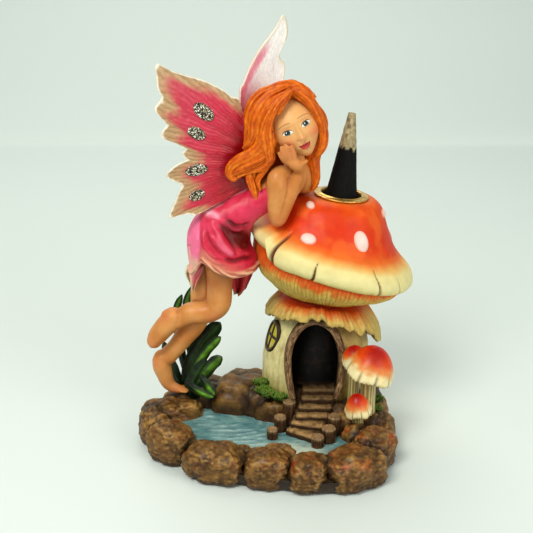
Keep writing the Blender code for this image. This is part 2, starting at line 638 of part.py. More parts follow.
def window():
    """The round window's frame and pane on the wall's left."""
    angle = math.radians(WINDOW_ANGLE)
    share = (WINDOW_Z - HOUSE_BULGE_Z) / (NECK_Z - HOUSE_BULGE_Z)
    radius = HOUSE_RADIUS * (1.0 - 0.22 * share ** 2)
    place = (Matrix.Translation((house_x(WINDOW_Z), HOUSE_CENTRE[1], WINDOW_Z))
             @ Matrix.Rotation(angle, 4, 'Z') @ Matrix.Translation((radius - 1.2, 0, 0))
             @ Matrix.Rotation(math.radians(80), 4, 'Y'))
    bm = bmesh.new()
    bmesh.ops.create_cone(bm, cap_ends=True, segments=20, radius1=WINDOW_RADIUS + WINDOW_FRAME,
                          radius2=WINDOW_RADIUS, depth=4 * WINDOW_FRAME)
    bm.transform(place)
    return bm


def small_toadstool(foot, top, radius, height, tilt):
    """A small toadstool as its stem and its domed cap."""
    stem_radius = min(STEM_RADIUS, 0.5 * radius)
    x, y, z = top
    stem = tube([(*foot, 5, stem_radius), (0.5 * (foot[0] + x), foot[1], 0.5 * (5 + z), 0.86 * stem_radius),
                 (x, y, z + 0.4 * height, stem_radius)])
    profile = [(0, height), (0.35 * radius, 0.92 * height), (0.7 * radius, 0.58 * height),
               (0.94 * radius, 0.16 * height), (radius, 0.0), (0.95 * radius, -0.14 * height),
               (0.6 * radius, -0.06 * height), (0, 0.0)]
    cap = turned(profile, segments=16)
    cap.transform(Matrix.Translation(top) @ Matrix.Rotation(math.radians(tilt), 4, 'Y'))
    return [stem, cap]


def leaf(tip, half_width):
    """A thick blade that bows up from the root to its tip."""
    root = Vector(LEAF_ROOT)
    end = Vector(tip)
    bow = Vector((0.5 * (root.x + end.x) - 0.12 * (end.z - root.z), 0.5 * (root.y + end.y) + 1.0,
                  root.z + 0.56 * (end.z - root.z)))
    rings = []
    for share, wide in [(0.0, 0.35), (0.22, 0.72), (0.48, 1.0), (0.74, 0.86), (0.93, 0.4), (1.0, 0.08)]:
        spot = root.lerp(bow, share).lerp(bow.lerp(end, share), share)
        along = (bow - root).lerp(end - bow, share).normalized()
        across = along.cross(Vector((0, 1, 0))).normalized()
        out = across.cross(along)
        ring = [(1, 0.15), (0, 0.5), (-1, 0.15), (-1, -0.15), (0, -0.5), (1, -0.15)]
        rings.append([spot + across * (half_width * wide * a) + out * (LEAF_THICKNESS * (0.4 + 0.6 * wide) * b)
                      for a, b in ring])
    return loft(rings)


def skirt():
    """The gathered skirt, whose folds deepen towards the hem."""
    count = 44
    rings = []
    for k, (x, z, half_width, half_depth, tilt) in enumerate(SKIRT_RINGS):
        turn = math.radians(tilt)
        ring = []
        for i in range(count):
            angle = 2 * math.pi * i / count
            fold = SKIRT_FOLD_DEPTH * k / (len(SKIRT_RINGS) - 1)
            grow = 1 + fold * math.sin(SKIRT_FOLDS * angle + 1.5 * math.sin(2 * angle)) / half_width
            across = half_width * grow * math.cos(angle)
            ring.append((x + across * math.cos(turn), FIGURE_Y + half_depth * grow * math.sin(angle),
                         z - across * math.sin(turn)))
        rings.append(ring)
    return loft(rings)


def figure_skin():
    """Every limb, lock and fold of the fairy, to be merged into one skin."""
    pieces = [tube(points, 2, 5) for points in
              [TORSO, NEAR_ARM, FAR_ARM, NEAR_LEG, FAR_LEG, REAR_FLAP, HEM_TAIL] + HAIR_LOCKS]
    pieces.append(skirt())
    pieces.append(ellipsoid(HEAD_CENTRE, HEAD_SIZE, (0, HEAD_ROLL, 0), 20, 14))
    pieces.append(ellipsoid(HAIR_MASS, HAIR_MASS_SIZE, (0, HEAD_ROLL, 0), 20, 14))
    whole = bmesh.new()
    for piece in pieces:
        mesh = bpy.data.meshes.new("piece")
        bmesh.ops.recalc_face_normals(piece, faces=piece.faces)
        piece.to_mesh(mesh)
        piece.free()
        whole.from_mesh(mesh)
        bpy.data.meshes.remove(mesh)
    return whole


def wing(root, heading, lift, length, side, grow=0.0, spokes=2, steps=4, ridge=WING_RIDGE):
    """A wing: a ribbed sheet that fans from its root to its ragged margin, then is thickened."""
    out = Vector((*heading, 0)).normalized()
    across = Vector((0, 0, 1)).cross(out) * side
    turn = Matrix.Rotation(math.radians(lift), 2)
    middle = turn @ (Vector(WING_MIDDLE) * length)
    margin = []
    for a, b in zip(WING_MARGIN, WING_MARGIN[1:]):
        margin += [Vector(a).lerp(Vector(b), s / spokes) for s in range(spokes)]
    margin.append(Vector(WING_MARGIN[-1]))
    rows = []
    for i, edge in enumerate(margin):
        share = i / (len(margin) - 1)
        low = Vector((-WING_TAB - grow, WING_ROOT_TOP + grow + share * (WING_ROOT_BOTTOM - WING_ROOT_TOP - 2 * grow)))
        start = Vector((-1.5 * grow, low.y))
        reach = turn @ (edge * length)
        reach += (reach - middle).normalized() * 2 * grow
        row = [low]
        row += [start.lerp(reach, step / steps) for step in range(steps + 1)]
        rows.append(row)
    bm = bmesh.new()
    loops = []
    for i, row in enumerate(rows):
        loop = []
        for k, flat in enumerate(row):
            far = max(0.0, flat.x) / 40.0
            rib = ridge * (1 if i % 2 else -1) * min(1.0, max(0, k - 2) / 2)
            bend = WING_BEND * far * far + 2.0 * far * math.sin(flat.y / 14.0) + rib
            loop.append(bm.verts.new(Vector(root) + out * flat.x + Vector((0, 0, flat.y)) + across * bend))
        loops.append(loop)
    for left, right in zip(loops, loops[1:]):
        for k in range(len(left) - 1):
            bm.faces.new((left[k], left[k + 1], right[k + 1], right[k]))
    return bm


def thicken(obj, thickness):
    """Give an open sheet its thickness, half on each side."""
    mod = obj.modifiers.new("Solidify", 'SOLIDIFY')
    mod.thickness = thickness * MM
    mod.offset = 0.0
    mod.use_even_offset = False


def build_base(parts, mat):
    """The cast base: pond, rocks, steps, posts, leaves and small toadstools, with a socket for the house."""
    joined = new_collection("base lumps")
    cut = new_collection("base cutters")
    floor = new_collection("base floor")
    base = new_object("pond_base", base_plate(), parts, mat)
    lumps = [ellipsoid((*MOUND_CENTRE, 4.0), (MOUND_SIZE[0], MOUND_SIZE[1], MOUND_SIZE[2] - 4.0), (0, 0, 0), 18, 8)]
    roughen(lumps[0], 1.6, 9.0, 31)
    lumps += [rock(place, size, turn, seed) for seed, (place, size, turn) in enumerate(RIM_ROCKS + BANK_ROCKS)]
    lumps += step_boxes()
    lumps += [post(*values) for values in POSTS]
    for values in TOADSTOOLS:
        lumps += small_toadstool(*values)
    lumps += [leaf(*values) for values in LEAVES]
    for i, lump in enumerate(lumps):
        new_object("lump_%02d" % i, lump, joined)
    ground = bmesh.new()
    bmesh.ops.create_cube(ground, size=1.0)
    ground.transform(Matrix.Translation((0, 0, -25)) @ Matrix.Diagonal((200, 200, 50, 1)))
    new_object("ground", ground, cut)
    new_object("house seat", house_seat(), cut)
    grown = DOOR_FRAME_WIDTH + 1.5 * CLEARANCE
    new_object("frame seat", door_block(grown, (-1.3 * DOOR_FRAME_PROUD - CLEARANCE, 10), DOOR_FOOT_Z - CLEARANCE), cut)
    new_object("house floor", house_floor(), floor)
    add_boolean(base, 'UNION', joined)
    add_boolean(base, 'DIFFERENCE', cut)
    add_boolean(base, 'UNION', floor)
    return base


def smoke_channel():
    """The bore that leads the smoke from the dish down to the chamber."""
    bm = bmesh.new()
    bottom = CHAMBER_TOP_Z - 4
    bmesh.ops.create_cone(bm, cap_ends=True, segments=20, radius1=SMOKE_CHANNEL_RADIUS,
                          radius2=SMOKE_CHANNEL_RADIUS, depth=TOP_Z - 1 - bottom)
    bm.transform(Matrix.Translation((cap_rings()[0][0], HOUSE_CENTRE[1], 0.5 * (TOP_Z - 1 + bottom))))
    return bm


def build_house(parts, mat):
    """The hollow toadstool house: neck, collar and wall, with its door frame and window."""
    joined = new_collection("house lumps")
    cut = new_collection("house cutters")
    house = new_object("toadstool_house_casting", toadstool_house(), parts, mat)
    new_object("door frame", door_frame(), joined)
    new_object("window", window(), joined)
    new_object("doorway", door_block(0, (-3 * DOOR_FRAME_PROUD, HOUSE_RADIUS - 0.5 * CHAMBER_RADIUS), DOOR_SILL_Z), cut)
    new_object("chamber", chamber_cutter(), cut)
    new_object("channel through the neck", smoke_channel(), cut)
    add_boolean(house, 'UNION', joined)
    add_boolean(house, 'DIFFERENCE', cut)
    return house


def build_cap(parts, mat):
    """The toadstool's cap with its spots, the dish's pocket and the smoke channel."""
    joined = new_collection("cap lumps")
    cut = new_collection("cap cutters")
    cap = new_object("toadstool_cap", toadstool_cap(), parts, mat)
    for i, (place, size) in enumerate(CAP_SPOTS):
        new_object("cap_spot_%02d" % i, cap_spot(*place, *size), joined)
    pocket = turned([(0, 4), (DISH_BOWL_RADIUS + CLEARANCE, 4), (DISH_BOWL_RADIUS + CLEARANCE, -DISH_DEPTH),
                     (0, -DISH_DEPTH)])
    pocket.transform(dish_place())
    new_object("dish pocket", pocket, cut)
    new_object("channel through the cap", smoke_channel(), cut)
    add_boolean(cap, 'UNION', joined)
    add_boolean(cap, 'DIFFERENCE', cut)
    return cap


def build_figure(parts, mat):
    """The fairy as one skin, cut to sit against the cap and the rock, with slots for her wings."""
    cut = new_collection("figure cutters")
    figure = new_object("fairy_figure", figure_skin(), parts, mat)
    skin = figure.modifiers.new("Remesh", 'REMESH')
    skin.mode = 'VOXEL'
    skin.voxel_size = SKIN_VOXEL * MM
    relax = figure.modifiers.new("Smooth", 'SMOOTH')
    relax.iterations = 4
    fewer = figure.modifiers.new("Decimate", 'DECIMATE')
    fewer.ratio = FIGURE_DETAIL
    new_object("cap seat", cap_body(CLEARANCE), cut)
    seat = rock(*RIM_ROCKS[0], 0, grow=1.5 * CLEARANCE)
    new_object("foot seat", seat, cut)
    for name, values in WINGS.items():
        slot = new_object(name + " slot", wing(*values, grow=CLEARANCE, spokes=1, ridge=0), cut)
        thicken(slot, WING_THICKNESS + 2 * WING_RIDGE + 3 * CLEARANCE)
    add_boolean(figure, 'DIFFERENCE', cut)
    return figure


def main():
    """Clear the scene and build every piece."""
    for obj in list(bpy.data.objects):
        bpy.data.objects.remove(obj, do_unlink=True)
    parts = new_collection("backflow_incense_burner")
    resin = material("painted resin", CAST_COLOUR, 0.5)
    build_base(parts, resin)
    build_house(parts, resin)
    build_cap(parts, resin)
    build_figure(parts, material("painted figure", FIGURE_COLOUR, 0.45))
    wing_paint = material("pearly wing paint", WING_COLOUR, 0.35)
    for name, values in WINGS.items():
        thicken(new_object(name, wing(*values), parts, wing_paint), WING_THICKNESS)
    smooth(new_object("cone_dish", dish(), parts, material("gold metal", GOLD_COLOUR, 0.3, 1.0)))
    smooth(new_object("incense_cone", cone(), parts, material("pressed incense", CONE_COLOUR, 0.95)))


main()
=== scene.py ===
"""Looks of the backflow incense burner: every painted surface of the casting, the figure and her wings.

Sizes and places are in millimetres, in the frame's own axes; each mesh is turned into metres when it is made.
"""
import math
import random

import bmesh
import bpy
import numpy as np
from mathutils import Matrix, Vector, noise


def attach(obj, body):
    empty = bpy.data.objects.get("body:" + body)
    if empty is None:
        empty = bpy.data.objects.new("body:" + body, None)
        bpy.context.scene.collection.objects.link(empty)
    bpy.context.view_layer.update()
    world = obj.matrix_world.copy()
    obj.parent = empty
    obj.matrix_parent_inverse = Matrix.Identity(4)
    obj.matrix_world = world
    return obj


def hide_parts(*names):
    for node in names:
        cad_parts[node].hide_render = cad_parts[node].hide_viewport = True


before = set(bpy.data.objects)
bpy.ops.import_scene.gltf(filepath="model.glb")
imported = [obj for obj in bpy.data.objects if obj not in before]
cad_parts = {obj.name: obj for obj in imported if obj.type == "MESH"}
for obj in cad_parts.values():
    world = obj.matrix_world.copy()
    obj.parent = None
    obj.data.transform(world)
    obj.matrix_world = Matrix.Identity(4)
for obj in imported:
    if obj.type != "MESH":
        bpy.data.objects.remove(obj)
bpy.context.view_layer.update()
MM = 0.001

# Sizes that the looks share with the frame
WATER_LEVEL = 7.0
HOUSE = (24.0, 27.0)
HOUSE_RADIUS = 25.2
HOUSE_BULGE_Z = 33.0
HOUSE_LEAN = 0.075
NECK_Z = 63.0
NECK_RADIUS = 17.5
CAP_RADIUS = 40.2
CAP_DEPTH_RATIO = 0.9
BRIM_Z = 85.0
BRIM_X = HOUSE[0] + HOUSE_LEAN * (BRIM_Z - HOUSE_BULGE_Z) + 2.4
TOP_Z = 111.2
TOP_X = HOUSE[0] + HOUSE_LEAN * (TOP_Z - HOUSE_BULGE_Z) + 4.6
TOP_TILT = 6.0
DISH_RADIUS = 12.7
CAP_TILT = 15.0
DOOR_X = 22.6
DOOR_Z = 38.0
DOOR_HALF_WIDTH = 11.2
DOOR_HALF_HEIGHT = 18.0
DOOR_SIDE_DROP = 30.0
DOOR_FOOT_Z = 20.4
DOOR_LEAN = -7.0


def srgb(red, green, blue):
    """A linear colour from the 0 to 255 values of a painted surface."""
    return tuple((v / 255 / 12.92) if v / 255 <= 0.04045 else ((v / 255 + 0.055) / 1.055) ** 2.4
                 for v in (red, green, blue))


def lerp_colour(a, b, share):
    """Mix two colours by an array of shares."""
    share = np.clip(np.asarray(share, dtype=float), 0, 1)[..., None]
    return np.asarray(a) * (1 - share) + np.asarray(b) * share


def brush(tone, colour, share):
    """Brush a colour of 0 to 255 values over a tone, as strongly as the share says."""
    return lerp_colour(tone, srgb(*colour), share)


def between(first, second, share):
    """Colours between two, given as 0 to 255 values, by an array of shares."""
    return lerp_colour(srgb(*first), srgb(*second), share)


def ramp(value, stops):
    """Colours for an array of values, from rows of value, red, green and blue."""
    places = [stop[0] for stop in stops]
    colours = [srgb(*stop[1:]) for stop in stops]
    return np.stack([np.interp(value, places, [colour[c] for colour in colours]) for c in range(3)], axis=-1)


def full_turn(count):
    """Evenly spaced angles round a full turn."""
    return np.linspace(0, 2 * math.pi, count, endpoint=False)


def moved(points, matrix):
    """Points moved by a 4 by 4 matrix."""
    place = np.array(matrix)
    return points @ place[:3, :3].T + place[:3, 3]


def smoothstep(low, high, value):
    """Zero below low, one above high, smooth between."""
    t = np.clip((np.asarray(value, dtype=float) - low) / (high - low), 0, 1)
    return t * t * (3 - 2 * t)


def fractal(points, grain, octaves=4, shift=0.0):
    """Fractal noise from about minus one to one, at points in millimetres."""
    flat = np.asarray(points).reshape(-1, 3)
    out = np.empty(len(flat))
    for i, (x, y, z) in enumerate(flat / grain):
        out[i] = noise.fractal(Vector((x + shift, y - shift, z + 2 * shift)), 0.9, 2.1, octaves)
    return out.reshape(np.asarray(points).shape[:-1])


def smooth_path(points, count):
    """Points, of any number of values each, read from a smooth curve through the given ones."""
    pts = np.asarray(points, dtype=float)
    pts = np.vstack([2 * pts[0] - pts[1], pts, 2 * pts[-1] - pts[-2]])
    place = np.linspace(0, len(points) - 1, count)
    k = np.minimum(place.astype(int), len(points) - 2)
    t = (place - k)[:, None]
    p0, p1, p2, p3 = pts[k], pts[k + 1], pts[k + 2], pts[k + 3]
    return 0.5 * (2 * p1 + (p2 - p0) * t + (2 * p0 - 5 * p1 + 4 * p2 - p3) * t ** 2
                  + (3 * p1 - p0 - 3 * p2 + p3) * t ** 3)


def smooth_loop(points, count):
    """Points of a smooth closed line through the given ones."""
    pts = [tuple(p) for p in points]
    wrapped = pts[-3:] + pts + pts[:4]
    whole = smooth_path(wrapped, (len(wrapped) - 1) * 16 + 1)
    part = whole[3 * 16:(3 + len(pts)) * 16 + 1]
    steps = np.linalg.norm(np.diff(part, axis=0), axis=1)
    along = np.concatenate([[0], np.cumsum(steps)])
    want = np.linspace(0, along[-1], count, endpoint=False)
    return np.stack([np.interp(want, along, part[:, c]) for c in range(part.shape[1])], axis=-1)


def smooth_object(name, mesh):
    """A smoothly shaded object of a mesh, linked to the scene."""
    obj = bpy.data.objects.new(name, mesh)
    bpy.context.scene.collection.objects.link(obj)
    mesh.shade_smooth()
    return obj


def sphere_grid(turn, rise):
    """Points of a unit sphere with its front at -y, from angles round it and above its middle."""
    flat = np.cos(rise)[:, None]
    return np.stack([flat * np.sin(turn), -flat * np.cos(turn), np.sin(rise)[:, None] + 0 * turn], axis=-1)


def make_object(name, verts, faces, colours=None):
    """An object from points in millimetres and faces, with its paint in a colour attribute."""
    mesh = bpy.data.meshes.new(name)
    mesh.from_pydata((np.asarray(verts).reshape(-1, 3) * MM).tolist(), [], faces)
    mesh.validate()
    obj = smooth_object(name, mesh)
    if colours is not None:
        set_paint(obj, colours)
    return obj


def set_paint(obj, colours):
    """Store one colour for each point."""
    values = np.ones((len(obj.data.vertices), 4))
    values[:, :3] = np.clip(np.asarray(colours).reshape(-1, 3), 0, 1)
    layer = obj.data.color_attributes.get("paint") or obj.data.color_attributes.new("paint", 'FLOAT_COLOR',
            'POINT')
    layer.data.foreach_set("color", values.ravel())


def grid_faces(rows, columns, wrap=False):
    """Quads of a grid of points, joined round its columns if it wraps."""
    r = np.arange(rows - 1)[:, None]
    c = np.arange(columns if wrap else columns - 1)[None, :]
    n = (c + 1) % columns
    quads = np.stack([r * columns + c, r * columns + n, (r + 1) * columns + n, (r + 1) * columns + c],
                     axis=-1)
    return quads.reshape(-1, 4).tolist()


def grid_object(name, points, colours, wrap=False, flip=False):
    """An object from a grid of points of shape rows, columns, 3."""
    rows, columns = points.shape[:2]
    faces = grid_faces(rows, columns, wrap)
    if flip:
        faces = [face[::-1] for face in faces]
    return make_object(name, points, faces, colours)


def coords(obj):
    """The object's points in millimetres."""
    out = np.empty(len(obj.data.vertices) * 3)
    obj.data.vertices.foreach_get("co", out)
    return out.reshape(-1, 3) / MM


def set_coords(obj, points):
    """Move the object's points, given in millimetres."""
    obj.data.vertices.foreach_set("co", (np.asarray(points) * MM).ravel())
    obj.data.update()


def normals(obj):
    """The object's point normals."""
    out = np.empty(len(obj.data.vertices) * 3)
    obj.data.vertex_normals.foreach_get("vector", out)
    return out.reshape(-1, 3)


def edge_ends(obj):
    """The two point numbers of every edge."""
    out = np.empty(len(obj.data.edges) * 2, dtype=np.int32)
    obj.data.edges.foreach_get("vertices", out)
    return out.reshape(-1, 2)


def spread(values, ends, rounds):
    """Average a value over each point's neighbours, a number of times."""
    values = np.asarray(values, dtype=float)
    count = np.bincount(ends.ravel(), minlength=len(values)).astype(float) + 1
    for _ in range(rounds):
        total = values.copy()
        np.add.at(total, ends[:, 0], values[ends[:, 1]])
        np.add.at(total, ends[:, 1], values[ends[:, 0]])
        values = total / count if values.ndim == 1 else total / count[:, None]
    return values


def spread_ring(values, rounds):
    """A closed ring of values, smoothed along the ring."""
    for _ in range(rounds):
        values = 0.5 * values + 0.25 * (np.roll(values, 1) + np.roll(values, -1))
    return values


def hollows(obj, reach=3):
    """How far each point lies in a hollow, above zero, or stands proud, below zero."""
    points, ends = coords(obj), edge_ends(obj)
    depth = np.einsum('ij,ij->i', spread(points, ends, reach) - points, normals(obj))
    return depth / (np.std(depth) + 1e-9)


def joined(name, objects):
    """Join objects into one, keeping their paint."""
    verts, faces, colours, start = [], [], [], 0
    for obj in objects:
        points = coords(obj)
        layer = np.empty(len(points) * 4)
        obj.data.color_attributes["paint"].data.foreach_get("color", layer)
        verts.append(points)
        colours.append(layer.reshape(-1, 4)[:, :3])
        faces += [[v + start for v in polygon.vertices] for polygon in obj.data.polygons]
        start += len(points)
        bpy.data.objects.remove(obj)
    return make_object(name, np.vstack(verts), faces, np.vstack(colours))


def painted_material(name, roughness=0.45, grain=1.2, uneven=0.18, bump=0.1, bump_grain=0.5, coat=0.0,
                     metallic=0.0, wash=None, wash_share=0.0, subsurface=0.0, sheen=0.2):
    """Brushed paint: the painted colours, mottled and slightly rough, with a thin wash in places."""
    mat = bpy.data.materials.new(name)
    mat.use_nodes = True
    nodes, links = mat.node_tree.nodes, mat.node_tree.links
    shader = nodes["Principled BSDF"]
    shader.inputs["Specular IOR Level"].default_value = sheen
    paint = nodes.new('ShaderNodeAttribute')
    paint.attribute_name = "paint"
    place = nodes.new('ShaderNodeTexCoord')

    def noise_node(size, detail):
        tex = nodes.new('ShaderNodeTexNoise')
        tex.inputs["Scale"].default_value = 1 / (size * MM)
        tex.inputs["Detail"].default_value = detail
        links.new(place.outputs["Object"], tex.inputs["Vector"])
        return tex

    mottle = noise_node(grain, 5.0)
    level = nodes.new('ShaderNodeMapRange')
    level.inputs["From Min"].default_value = 0.3
    level.inputs["From Max"].default_value = 0.7
    level.inputs["To Min"].default_value = 1 - uneven
    level.inputs["To Max"].default_value = 1 + uneven
    links.new(mottle.outputs["Fac"], level.inputs["Value"])
    tone = nodes.new('ShaderNodeVectorMath')
    tone.operation = 'SCALE'
    links.new(paint.outputs["Color"], tone.inputs[0])
    links.new(level.outputs["Result"], tone.inputs["Scale"])
    colour = tone.outputs["Vector"]
    if wash is not None:
        patches = noise_node(2.5 * grain, 4.0)
        share = nodes.new('ShaderNodeMapRange')
        share.inputs["From Min"].default_value = 0.5
        share.inputs["From Max"].default_value = 0.72
        share.inputs["To Max"].default_value = wash_share
        links.new(patches.outputs["Fac"], share.inputs["Value"])
        mix = nodes.new('ShaderNodeMix')
        mix.data_type = 'RGBA'
        links.new(share.outputs["Result"], mix.inputs["Factor"])
        links.new(colour, mix.inputs["A"])
        mix.inputs["B"].default_value = (*wash, 1)
        colour = mix.outputs["Result"]
    links.new(colour, shader.inputs["Base Color"])
    rough = nodes.new('ShaderNodeMapRange')
    rough.inputs["To Min"].default_value = max(0.05, roughness - 0.12)
    rough.inputs["To Max"].default_value = min(1.0, roughness + 0.12)
    links.new(mottle.outputs["Fac"], rough.inputs["Value"])
    links.new(rough.outputs["Result"], shader.inputs["Roughness"])
    shader.inputs["Metallic"].default_value = metallic
    shader.inputs["Coat Weight"].default_value = coat
    shader.inputs["Coat Roughness"].default_value = 0.25
    if subsurface:
        shader.inputs["Subsurface Weight"].default_value = subsurface
        shader.inputs["Subsurface Scale"].default_value = 0.8 * MM
    relief = noise_node(bump_grain, 6.0)
    height = nodes.new('ShaderNodeBump')
    height.inputs["Strength"].default_value = 1.0
    height.inputs["Distance"].default_value = bump * MM
    links.new(relief.outputs["Fac"], height.inputs["Height"])
    links.new(height.outputs["Normal"], shader.inputs["Normal"])
    return mat


def finish_piece(obj, mat, slot, *nodes):
    """Give a piece its material and its place on the body, and hide the CAD parts that it stands for."""
    obj.data.materials.clear()
    obj.data.materials.append(mat)
    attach(obj, "root")
    if nodes:
        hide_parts(*nodes)


BASE = "pond_base"
CASTING = "toadstool_house_casting"
CAP = "toadstool_cap"


def house_x(z):
    """Middle of the leaning house at a height."""
    return HOUSE[0] + HOUSE_LEAN * (z - HOUSE_BULGE_Z)


def tilted_rings(rings, angles, depth_ratio=1.0):
    """A grid of points from rings of x, z, radius and tilt, with the right side lower."""
    x, z, radius, tilt = (rings[:, c][:, None] for c in range(4))
    turn = np.radians(tilt)
    across = radius * np.cos(angles)[None, :]
    return np.stack([x + across * np.cos(turn), HOUSE[1] + radius * depth_ratio * np.sin(angles)[None, :],
                     z - across * np.sin(turn)], axis=-1)


def angle_bump(angles, middle, width):
    """One at the middle angle, falling smoothly to nothing a width away, in degrees."""
    apart = np.abs((np.degrees(angles) - middle + 180) % 360 - 180)
    return np.clip(1 - apart / width, 0, 1) ** 2 * (3 - 2 * np.clip(1 - apart / width, 0, 1))


# The camera stands where the photograph was taken from, in metres and degrees
CAMERA_PLACE = (0, -0.447, 0.249)
CAMERA_PITCH = 70
LENS = 72
# Lamps as name, place, point that they look at, size and power
LAMPS = [("key", (-0.28, -0.50, 0.72), (0, 0, 0.08), 0.38, 5.3),
         ("fill", (0.62, -0.5, 0.40), (0, 0, 0.08), 0.55, 2.7),
         ("back", (-0.15, 0.55, 0.75), (0, 0, 0.1), 0.5, 2.6)]
LAMP_COLOUR = (1.0, 0.965, 0.89)
# The sheet under and behind the object, as (distance back, height)
PAPER = [(-900.0, 0.0), (400.0, 0.0), (600.0, 15.0), (760.0, 90.0), (850.0, 260.0), (880.0, 900.0)]


def build_lamp(name, place, target, size, power):
    """One square, soft lamp."""
    light = bpy.data.lights.new(name, 'AREA')
    light.size = size
    light.energy = power
    light.color = LAMP_COLOUR
    obj = bpy.data.objects.new(name, light)
    obj.location = place
    obj.rotation_euler = (Vector(target) - Vector(place)).to_track_quat('-Z', 'Y').to_euler()
    bpy.context.scene.collection.objects.link(obj)


def build_stage():
    """Camera, soft lamps, a pale floor and a pale backdrop."""
    scene = bpy.context.scene
    scene.view_settings.view_transform = 'Standard'
    camera = bpy.data.cameras.new("camera")
    camera.lens = LENS
    camera.sensor_width = 36
    camera.clip_start = 0.01
    holder = bpy.data.objects.new("camera", camera)
    holder.location = CAMERA_PLACE
    holder.rotation_euler = (math.radians(CAMERA_PITCH), 0, 0)
    scene.collection.objects.link(holder)
    scene.camera = holder

    for row in LAMPS:
        build_lamp(*row)
    world = bpy.data.worlds.new("studio")
    world.use_nodes = True
    nodes, links = world.node_tree.nodes, world.node_tree.links
    soft = nodes["Background"]
    soft.inputs["Color"].default_value = (*srgb(240, 244, 238), 1)
    soft.inputs["Strength"].default_value = 0.40
    seen = nodes.new('ShaderNodeBackground')
    seen.inputs["Color"].default_value = (*srgb(218, 230, 220), 1)
    path = nodes.new('ShaderNodeLightPath')
    mix = nodes.new('ShaderNodeMixShader')
    links.new(path.outputs["Is Camera Ray"], mix.inputs[0])
    links.new(soft.outputs[0], mix.inputs[1])
    links.new(seen.outputs[0], mix.inputs[2])
    links.new(mix.outputs[0], nodes["World Output"].inputs["Surface"])
    scene.world = world

    mat = bpy.data.materials.new("floor paper")
    mat.use_nodes = True
    shader = mat.node_tree.nodes["Principled BSDF"]
    shader.inputs["Base Color"].default_value = (*srgb(221, 232, 229), 1)
    shader.inputs["Roughness"].default_value = 0.9
    points = np.array([[(x, y, z) for x in (-1500.0, 1500.0)] for y, z in smooth_path(PAPER, 60)])
    floor = grid_object("floor", points, None)
    floor.data.materials.append(mat)


def cap_profile():
    """The cap's rings from the dish pocket out to the lip and in under it: x, z, radius, tilt."""
    rise = TOP_Z - BRIM_Z
    return np.array([(TOP_X, TOP_Z - 2.8, 9.7, TOP_TILT), (TOP_X, TOP_Z - 0.1, 9.9, TOP_TILT),
                     (TOP_X, TOP_Z, DISH_RADIUS + 0.6, TOP_TILT), (TOP_X - 0.8, TOP_Z - 0.35, 17.0, TOP_TILT),
                     (TOP_X - 1.4, TOP_Z - 2.5, 21.0, TOP_TILT + 2.5),
                     (TOP_X - 2.2, TOP_Z - 6.6, 24.2, CAP_TILT - 1.7),
                     (BRIM_X + 1.6, BRIM_Z + 0.52 * rise, 27.4, CAP_TILT + 0.8),
                     (BRIM_X + 1.2, BRIM_Z + 0.36 * rise, 30.5, CAP_TILT + 1.5),
                     (BRIM_X + 0.4, BRIM_Z + 0.22 * rise, 34.4, CAP_TILT + 1.2),
                     (BRIM_X, BRIM_Z + 0.09 * rise, 38.2, CAP_TILT + 0.5),
                     (BRIM_X, BRIM_Z - 0.5, 39.7, CAP_TILT), (BRIM_X, BRIM_Z - 3.0, 40.1, CAP_TILT),
                     (BRIM_X, BRIM_Z - 5.4, 39.3, CAP_TILT), (BRIM_X - 0.2, BRIM_Z - 6.5, 37.8, CAP_TILT),
                     (BRIM_X - 0.4, BRIM_Z - 6.2, 36.2, CAP_TILT)])


# Cracks of the brim as (angle at the lip, half width, start, slant)
CRACKS = [(252.5, 1.9, 0.66, 7.0), (303.0, 1.9, 0.62, -2.5), (295.8, 0.9, 0.84, 0.0),
          (324.0, 1.1, 0.72, -4.0), (20.0, 1.2, 0.66, 2.0), (62.0, 1.0, 0.7, -3.0), (104.0, 1.5, 0.6, 3.0),
          (146.0, 1.1, 0.68, 0.0)]
NOTCH = 219.0


def brim_curl(angles):
    """How far the brim's left piece is curled up at each angle."""
    deg = np.degrees(angles) % 360
    before = 1 - smoothstep(NOTCH - 2.6, NOTCH + 0.4, deg)
    return smoothstep(150, 196, deg) * before * (1 + 0.55 * smoothstep(214, 186, deg))


def brim_shape(angles, share):
    """Extra height and reach of the brim, and how deep in a crack each point lies."""
    deg = np.degrees(angles) % 360
    brim = smoothstep(0.5, 0.95, share)[:, None]
    lift = 4.9 * brim_curl(angles) - 0.6 * angle_bump(angles, NOTCH + 12, 14) + 0.4 * np.sin(3 * angles + 1)
    crack = np.zeros((len(share), len(angles)))
    for middle, width, start, slant in CRACKS:
        wander = (middle + slant * (1 - share) / (1 - start) + 0.5 * np.sin(22 * share + middle))[:, None]
        depth = np.clip(1 - np.abs((deg[None, :] - wander + 180) % 360 - 180)
                        / (width * (0.12 + 0.88 * smoothstep(start, 1.0, share)[:, None])), 0, 1)
        crack = np.maximum(crack, depth * smoothstep(start - 0.02, start + 0.06, share)[:, None])
    slit = np.clip(1 - np.abs(deg[None, :] - NOTCH - 1.0 - 16 * (1 - share)[:, None])
                   / (0.8 + 2.6 * share[:, None]), 0, 1)
    crack = np.maximum(crack, slit * smoothstep(0.52, 0.62, share)[:, None])
    return brim * lift[None, :], crack


